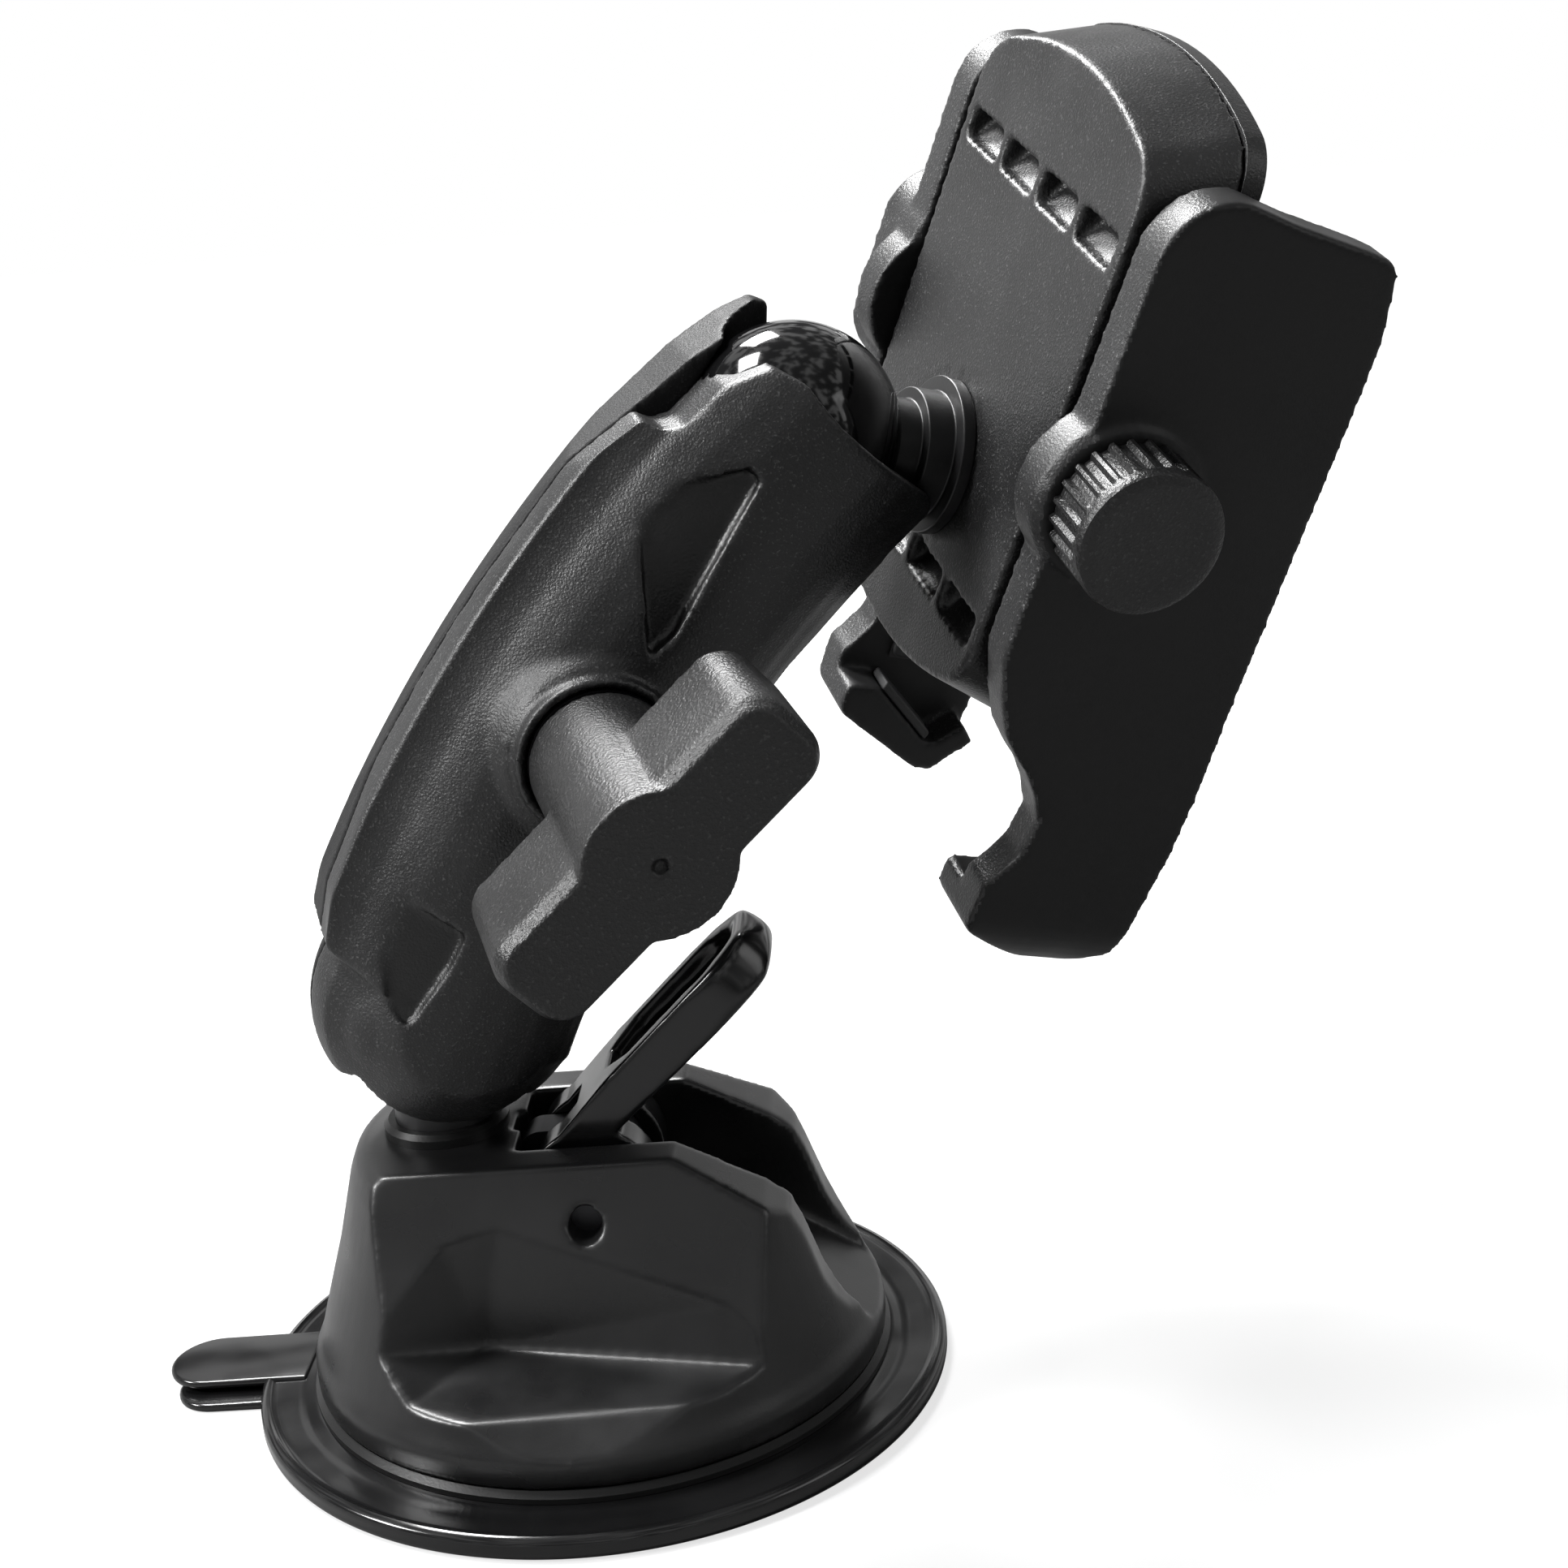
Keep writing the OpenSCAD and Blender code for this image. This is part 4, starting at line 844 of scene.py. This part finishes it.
    def build(self) -> None:
        """Sets camera, floor, world and lamps."""
        scene = bpy.context.scene
        scene.view_settings.view_transform = "Standard"
        self.camera()
        self.floor()
        self.world()
        for lamp in self.lamps:
            self.lamp(*lamp)
        LOG.info("studio set")


@dataclass
class SuctionBase:
    """Disc, ring, housing and lever."""

    disc_r: float = 43.5 * MM
    disc_t: float = 2.8 * MM
    edge: float = 1.1 * MM
    tab_reach: float = 56.5 * MM
    tab_r: float = 5.8 * MM
    tab_steps: int = 24
    tab_round: float = 0.4
    neck_share: float = 1.02
    lower_r: float = 5.2 * MM
    boss_r: float = 9.6 * MM
    boss_top: float = 7.55 * MM
    pin: tuple[float, float] = (1.9 * MM, 27.8 * MM)
    lever_l: float = 37.0 * MM
    lever_rest: float = math.radians(42)
    tip_from: float = 0.7
    tip_fade: float = 0.15
    tip_passes: int = 70
    hub_to: float = 0.2
    hub_fade: float = 0.1
    hub_calm: float = 0.12
    seat_z: float = 15.0 * MM
    spring_low: float = 8.87 * MM
    lift: float = 3.13 * MM

    def along(self, point: Vector) -> float:
        """How far a point lies along the lever, as a share of its length."""
        way = Vector((math.cos(self.lever_rest), 0.0, math.sin(self.lever_rest)))
        return (point - Vector((self.pin[0], 0.0, self.pin[1]))).dot(way) / self.lever_l

    def tip(self, point: Vector) -> float:
        """How much of the long smoothing a point of the lever takes: all of it at its round tip."""
        return clamp((self.along(point) - self.tip_from) / self.tip_fade)

    def handle(self, point: Vector) -> float:
        """How much of the main smoothing a point of the lever takes: little at its hub and cam."""
        return clamp((self.along(point) - self.hub_to) / self.hub_fade, self.hub_calm)

    def tongue(self, shape: bmesh.types.BMesh, end: float, side: float, half: float, low: float) -> None:
        """Adds a flat tongue with a round end that runs out from under the ring.

        Args:
            shape: The mesh that it joins.
            end: Centre of its round end, from the disc's centre.
            side: How far its middle lies off the centre line.
            half: Its half width.
            low: Height of its underside.
        """
        made = bmesh.new()
        turn = [(end + half * math.cos(a), side + half * math.sin(a))
                for a in (math.radians(90 + 180 * i / self.tab_steps) for i in range(self.tab_steps + 1))]
        wide = half * self.neck_share
        neck = [(-self.disc_r + self.tab_r, side - wide), (-self.disc_r + self.tab_r, side + wide)]
        lower = [made.verts.new((x, y, low)) for x, y in turn + neck]
        face = made.faces.new(lower)
        raised = bmesh.ops.extrude_face_region(made, geom=[face])
        bmesh.ops.translate(made, verts=[v for v in raised["geom"] if isinstance(v, bmesh.types.BMVert)],
                            vec=(0, 0, self.edge))
        bmesh.ops.recalc_face_normals(made, faces=made.faces)
        edges = [e for e in made.edges if e.calc_face_angle(0.0) > math.radians(60)]
        bmesh.ops.bevel(made, geom=edges, offset=self.edge * self.tab_round, segments=4, profile=0.5, affect="EDGES")
        mesh = in_order("tongue", made)
        shape.from_mesh(mesh)
        bpy.data.meshes.remove(mesh)

    def disc(self) -> None:
        """Makes the disc with its ripples, its boss and both layers of its pull tab."""
        piece = turned_disc().make("suction_disc_dressed", DISC, Matrix(), {"Radius": self.disc_r,
                                                                            "Thickness": self.disc_t})
        shape = bmesh.new()
        shape.from_mesh(piece.data)
        self.tongue(shape, -self.tab_reach + self.tab_r, self.tab_r / 4, self.tab_r, self.disc_t - self.edge)
        self.tongue(shape, -self.tab_reach + self.tab_r + self.edge, -self.tab_r / 3, self.lower_r, 0.0)
        height = self.boss_top - self.disc_t
        bmesh.ops.create_cone(shape, cap_ends=True, segments=64, radius1=self.boss_r, radius2=self.boss_r,
                              depth=height, matrix=Matrix.Translation((0, 0, self.disc_t + height / 2)))
        shape.to_mesh(piece.data)
        shape.free()
        sharpen(piece.data, MOULD_CREASE)
        settled(piece, "suction_disc", DISC)

    def build(self) -> None:
        """Dresses the pieces of the base."""
        self.disc()
        dress("base_gasket", SEAL)
        moulded("base_housing", HOUSING, 0.5 * MM, 5)
        dress("lever_pin", DARK_STEEL)
        moulded("cam_lever", LEVER, 0.32 * MM, 10, melt=self.tip, melt_passes=self.tip_passes,
                calm=self.handle)
        dress("disc_stem", DARK_STEEL)
        spring = settled(copied("return_spring"), "return_spring", SPRING)
        sharpen(spring.data)
        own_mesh(spring)
        dress("post_screw", STEEL)
        dress("post_collar", SEAL)
        dress("lower_ball_stud", STUD)
        dress("lower_ball_cover", GLOSS)


@dataclass
class Arm:
    """Both arm shells with their bolt, spring and wing knob."""

    bolt: tuple[float, float] = (40.0 * MM, 4.0 * MM)
    spring_r: float = 4.6 * MM
    wire_r: float = 0.55 * MM
    spring_h: float = 14.0 * MM
    turns: float = 5.0
    ball_gap: float = 81.7 * MM
    bow: float = 4.5 * MM
    depth: float = 14.2 * MM
    half_width: float = 18.2 * MM
    power: float = 0.3846
    crown_from: float = -2.0 * MM
    crown: float = 15.0
    crown_back: float = 9.0
    crown_low: float = 5.0 * MM
    crown_fade: float = 6.0 * MM
    seat_r: float = 12.9 * MM
    skin_r: float = 13.4 * MM
    hollow_from: float = 0.4 * MM
    ring_r: float = 10.6 * MM
    ring_fade: float = 1.2 * MM
    flank_from: float = 9.5 * MM
    flank_full: float = 12.5 * MM
    flank_ends: tuple[float, float] = (-8.0 * MM, 72.0 * MM)
    flank_fade: float = 10.0 * MM
    flank_low: float = 1.0 * MM
    flank_rise: float = 3.0 * MM
    recesses: tuple[tuple[tuple[float, float], ...], ...] = (
        ((0.796, 0.165), (0.874, 0.142), (0.938, 0.083), (0.931, 0.062), (0.8, 0.056), (0.69, 0.049), (0.643, 0.064),
         (0.747, 0.136)),
        ((0.168, 0.16), (0.073, 0.147), (0.01, 0.1), (0.004, 0.07), (0.021, 0.065), (0.115, 0.062), (0.169, 0.069)))

    def off_centre(self, a: float, t: float) -> float:
        """How far a point lies off the arm's bowed middle, towards its outer side."""
        half = self.ball_gap / 2
        radius = (half * half + self.bow * self.bow) / (2 * self.bow)
        return t - (self.bow - radius + math.sqrt(max(0.0, radius * radius - (a - half) ** 2)))

    def crowned(self, point: Vector) -> Vector:
        """Lowers the front shell's face towards both sides, all but the knob's ring and the ball seats.

        Args:
            point: A point of the shell, in the frame's axes.

        Returns:
            Its place on the crowned face.
        """
        a, t, n = ARM_PLACE.inverted() @ point
        if n < self.crown_low:
            return point
        off = self.off_centre(a, t) - self.crown_from
        drop = (self.crown if off > 0 else self.crown_back) * off * off
        free = (math.hypot(a - self.bolt[0], t - self.bolt[1]) - self.ring_r) / self.ring_fade
        share = clamp(free) * min(1.0, (n - self.crown_low) / self.crown_fade)
        low = n - drop * share
        for ball in (0.0, self.ball_gap):
            if math.dist((a, t, n), (ball, 0.0, 0.0)) < self.seat_r:
                return point
            floor = self.skin_r ** 2 - (a - ball) ** 2 - t * t
            if floor > 0.0:
                low = max(low, min(n, math.sqrt(floor)))
        return ARM_PLACE @ Vector((a, t, low))

    def flank(self, point: Vector) -> float:
        """How much of the long smoothing a point of the shell takes: all of it on the outer flank."""
        a, t, n = ARM_PLACE.inverted() @ point
        off = self.off_centre(a, t)
        share = clamp((off - self.flank_from) / (self.flank_full - self.flank_from))
        start, end = self.flank_ends
        ends = min(clamp((a - start) / self.flank_fade), clamp((end - a) / self.flank_fade))
        return share * ends * clamp((n - self.flank_low) / self.flank_rise)

    def hollow(self, point: Vector) -> float:
        """How deep a point of the front shell lies in one of its two hollows, from 0 at the face to 1; the shell's
        colour is darkened by it as painted shade.
        """
        a, t, n = ARM_PLACE.inverted() @ point
        off = self.off_centre(a, t)
        round_share = 1 / self.power
        face = self.depth * max(0.0, 1 - abs(off / self.half_width) ** round_share) ** self.power
        off -= self.crown_from
        face -= (self.crown if off > 0 else self.crown_back) * off * off
        for shares in self.recesses:
            corners = [(x * self.ball_gap, y * self.ball_gap) for x, y in shares]
            inside = False
            for (x0, y0), (x1, y1) in zip(corners, corners[1:] + corners[:1]):
                if (y0 > t) != (y1 > t) and a < x0 + (t - y0) / (y1 - y0) * (x1 - x0):
                    inside = not inside
            if inside:
                return clamp((face - n - self.hollow_from) / self.hollow_from)
        return 0.0

    def build(self) -> None:
        """Dresses the pieces of the arm."""
        front = moulded("arm_front_shell", SHELL, 0.45 * MM, 4, self.crowned, self.flank)
        # painted shade: each point's depth in a hollow darkens the shell's colour there
        hollow_shade = front.data.attributes.new("hollow", "FLOAT", "POINT")
        for point in front.data.vertices:
            hollow_shade.data[point.index].value = self.hollow(point.co)
        moulded("arm_rear_shell", REAR_SHELL, 0.45 * MM, 5)
        for node in ("clamp_bolt", "knob_washer"):
            dress(node, DARK_STEEL)
        place = ARM_PLACE @ Matrix.Translation((*self.bolt, self.wire_r - self.spring_h / 2))
        spring = wound_wire().make("arm_spring_dressed", SPRING, place, {
            "Coil radius": self.spring_r, "Wire radius": self.wire_r, "Turns": self.turns,
            "Height": self.spring_h - 2 * self.wire_r})
        settled(spring, "arm_spring", SPRING)
        moulded("wing_knob", KNOB, 0.36 * MM, 6)
        dress("knob_insert", BRASS)


@dataclass
class PhoneClamp:
    """Ball stud, clamp body, drive, jaws and knob."""

    steel: tuple[str, ...] = ("lead_screw", "retaining_clip", "guide_tube")
    acetal: tuple[str, ...] = ("pinion", "right_rack", "left_rack", "thrust_washer")
    screw_v: float = 10.0 * MM
    screw_w: float = 25.7 * MM
    dial_from: float = 32.0 * MM
    dial_l: float = 8.6 * MM
    dial_r: float = 8.4 * MM
    seam_w: float = 30.0 * MM
    cover_t: float = 2.5 * MM
    head_in: float = 1.0 * MM
    gap: float = 0.3 * MM
    cover_spots: tuple[tuple[float, float], ...] = ((-18.0, 44.4), (-18.0, -19.0), (18.0, 44.4), (18.0, -19.0))
    flange_u: float = 4.6 * MM
    flange_seat: float = 23.0 * MM
    pad_from: float = 25.3 * MM
    pad_depth: float = 1.3 * MM
    pad_w: tuple[float, float] = (35.0 * MM, 46.0 * MM)
    pad_v: tuple[float, float] = (-40.0 * MM, 39.0 * MM)
    lobes: int = 7
    # least turn towards the back of a jaw face that gets the painted light
    lit_back_turn: float = 0.45

    def screws(self) -> None:
        """Makes the cover's screws and the flange's screws with their cross recesses."""
        recipe = crossed_screws()
        under = Matrix.Rotation(math.pi, 4, "X")
        height = self.cover_t - self.gap - self.head_in
        spots = [(u * MM, -v * MM, self.seam_w + self.head_in) for u, v in self.cover_spots]
        cover = recipe.make("cover_screws_dressed", DARK_STEEL, CLAMP_PLACE @ under, {
            "Head height": height, "Shank length": 5.0 * MM}, spots)
        settled(cover, "cover_screws", DARK_STEEL)
        spots = [(side * self.flange_u, 0.0, self.flange_seat) for side in (-1, 1)]
        flange = recipe.make("flange_screws_dressed", DARK_STEEL, CLAMP_PLACE @ under, {
            "Head height": 1.4 * MM, "Shank radius": 1.3 * MM, "Shank length": 7.8 * MM}, spots)
        settled(flange, "flange_screws", DARK_STEEL)

    def side_pads(self) -> None:
        """Makes the lobed rubber strips inside both jaws."""
        recipe = lobed_pad()
        middle = ((self.pad_v[0] + self.pad_v[1]) / 2, -(self.pad_w[0] + self.pad_w[1]) / 2)
        sizes = {"Lobes": self.lobes, "Pitch": (self.pad_v[1] - self.pad_v[0]) / self.lobes,
                 "Width": self.pad_w[1] - self.pad_w[0], "Depth": self.pad_depth}
        for side, turn in (("right", 0.0), ("left", math.pi)):
            start = self.pad_from - self.pad_depth
            place = (CLAMP_PLACE @ Matrix.Translation((start if side == "right" else -start, *middle))
                     @ Matrix.Rotation(turn, 4, "Z"))
            pad = recipe.make(side + "_side_pad_dressed", PAD, place, sizes)
            settled(pad, side + "_side_pad", PAD)

    def dial(self) -> None:
        """Makes the ribbed knob of the lead screw."""
        place = (CLAMP_PLACE @ Matrix.Translation((self.dial_from + self.dial_l / 2, self.screw_v, -self.screw_w))
                 @ ALONG_X)
        knob = fluted_dial().make("screw_knob_dressed", KNOB, place, {"Radius": self.dial_r, "Length": self.dial_l})
        settled(knob, "screw_knob", KNOB)

    def jaws(self) -> None:
        """Makes both jaws, with a grainy strip along their backs whose lighter colour is painted light on the faces
        that turn towards the lamps.
        """
        back = CLAMP_PLACE.to_3x3() @ Vector((0.0, 0.0, 1.0))
        for side in ("right", "left"):
            jaw = moulded(side + "_jaw", JAW, 0.45 * MM, 8)
            jaw.data.materials.append(JAW_LIT_BACK.material())
            for face in jaw.data.polygons:
                # painted light: faces turned to the back, towards the lamps, get the lighter finish
                if face.normal.dot(back) > self.lit_back_turn:
                    face.material_index = 1

    def build(self) -> None:
        """Dresses the pieces of the phone clamp."""
        dress("upper_ball_cover", GLOSS)
        softened("upper_ball_stud", STUD, 0.25 * MM)
        moulded("clamp_back_shell", SHELL, 0.5 * MM, 4)
        softened("clamp_front_cover", SHELL, 0.5 * MM)
        self.jaws()
        self.dial()
        self.screws()
        self.side_pads()
        softened("tube_cap", KNOB, 0.6 * MM)
        softened("front_pad", PAD, 0.3 * MM)
        for node in self.steel:
            dress(node, STEEL)
        for node in ("screw_nut", "tube_bush"):
            dress(node, BRASS)
        for node in self.acetal:
            dress(node, ACETAL)
        for node in ("right_foot_pad", "left_foot_pad"):
            softened(node, PAD, 0.4 * MM)


def main() -> None:
    """Builds the studio and every sub-assembly in order."""
    logging.basicConfig(level=logging.INFO, format="%(message)s")
    Studio().build()
    SuctionBase().build()
    Arm().build()
    PhoneClamp().build()


if __name__ == "__main__":
    main()
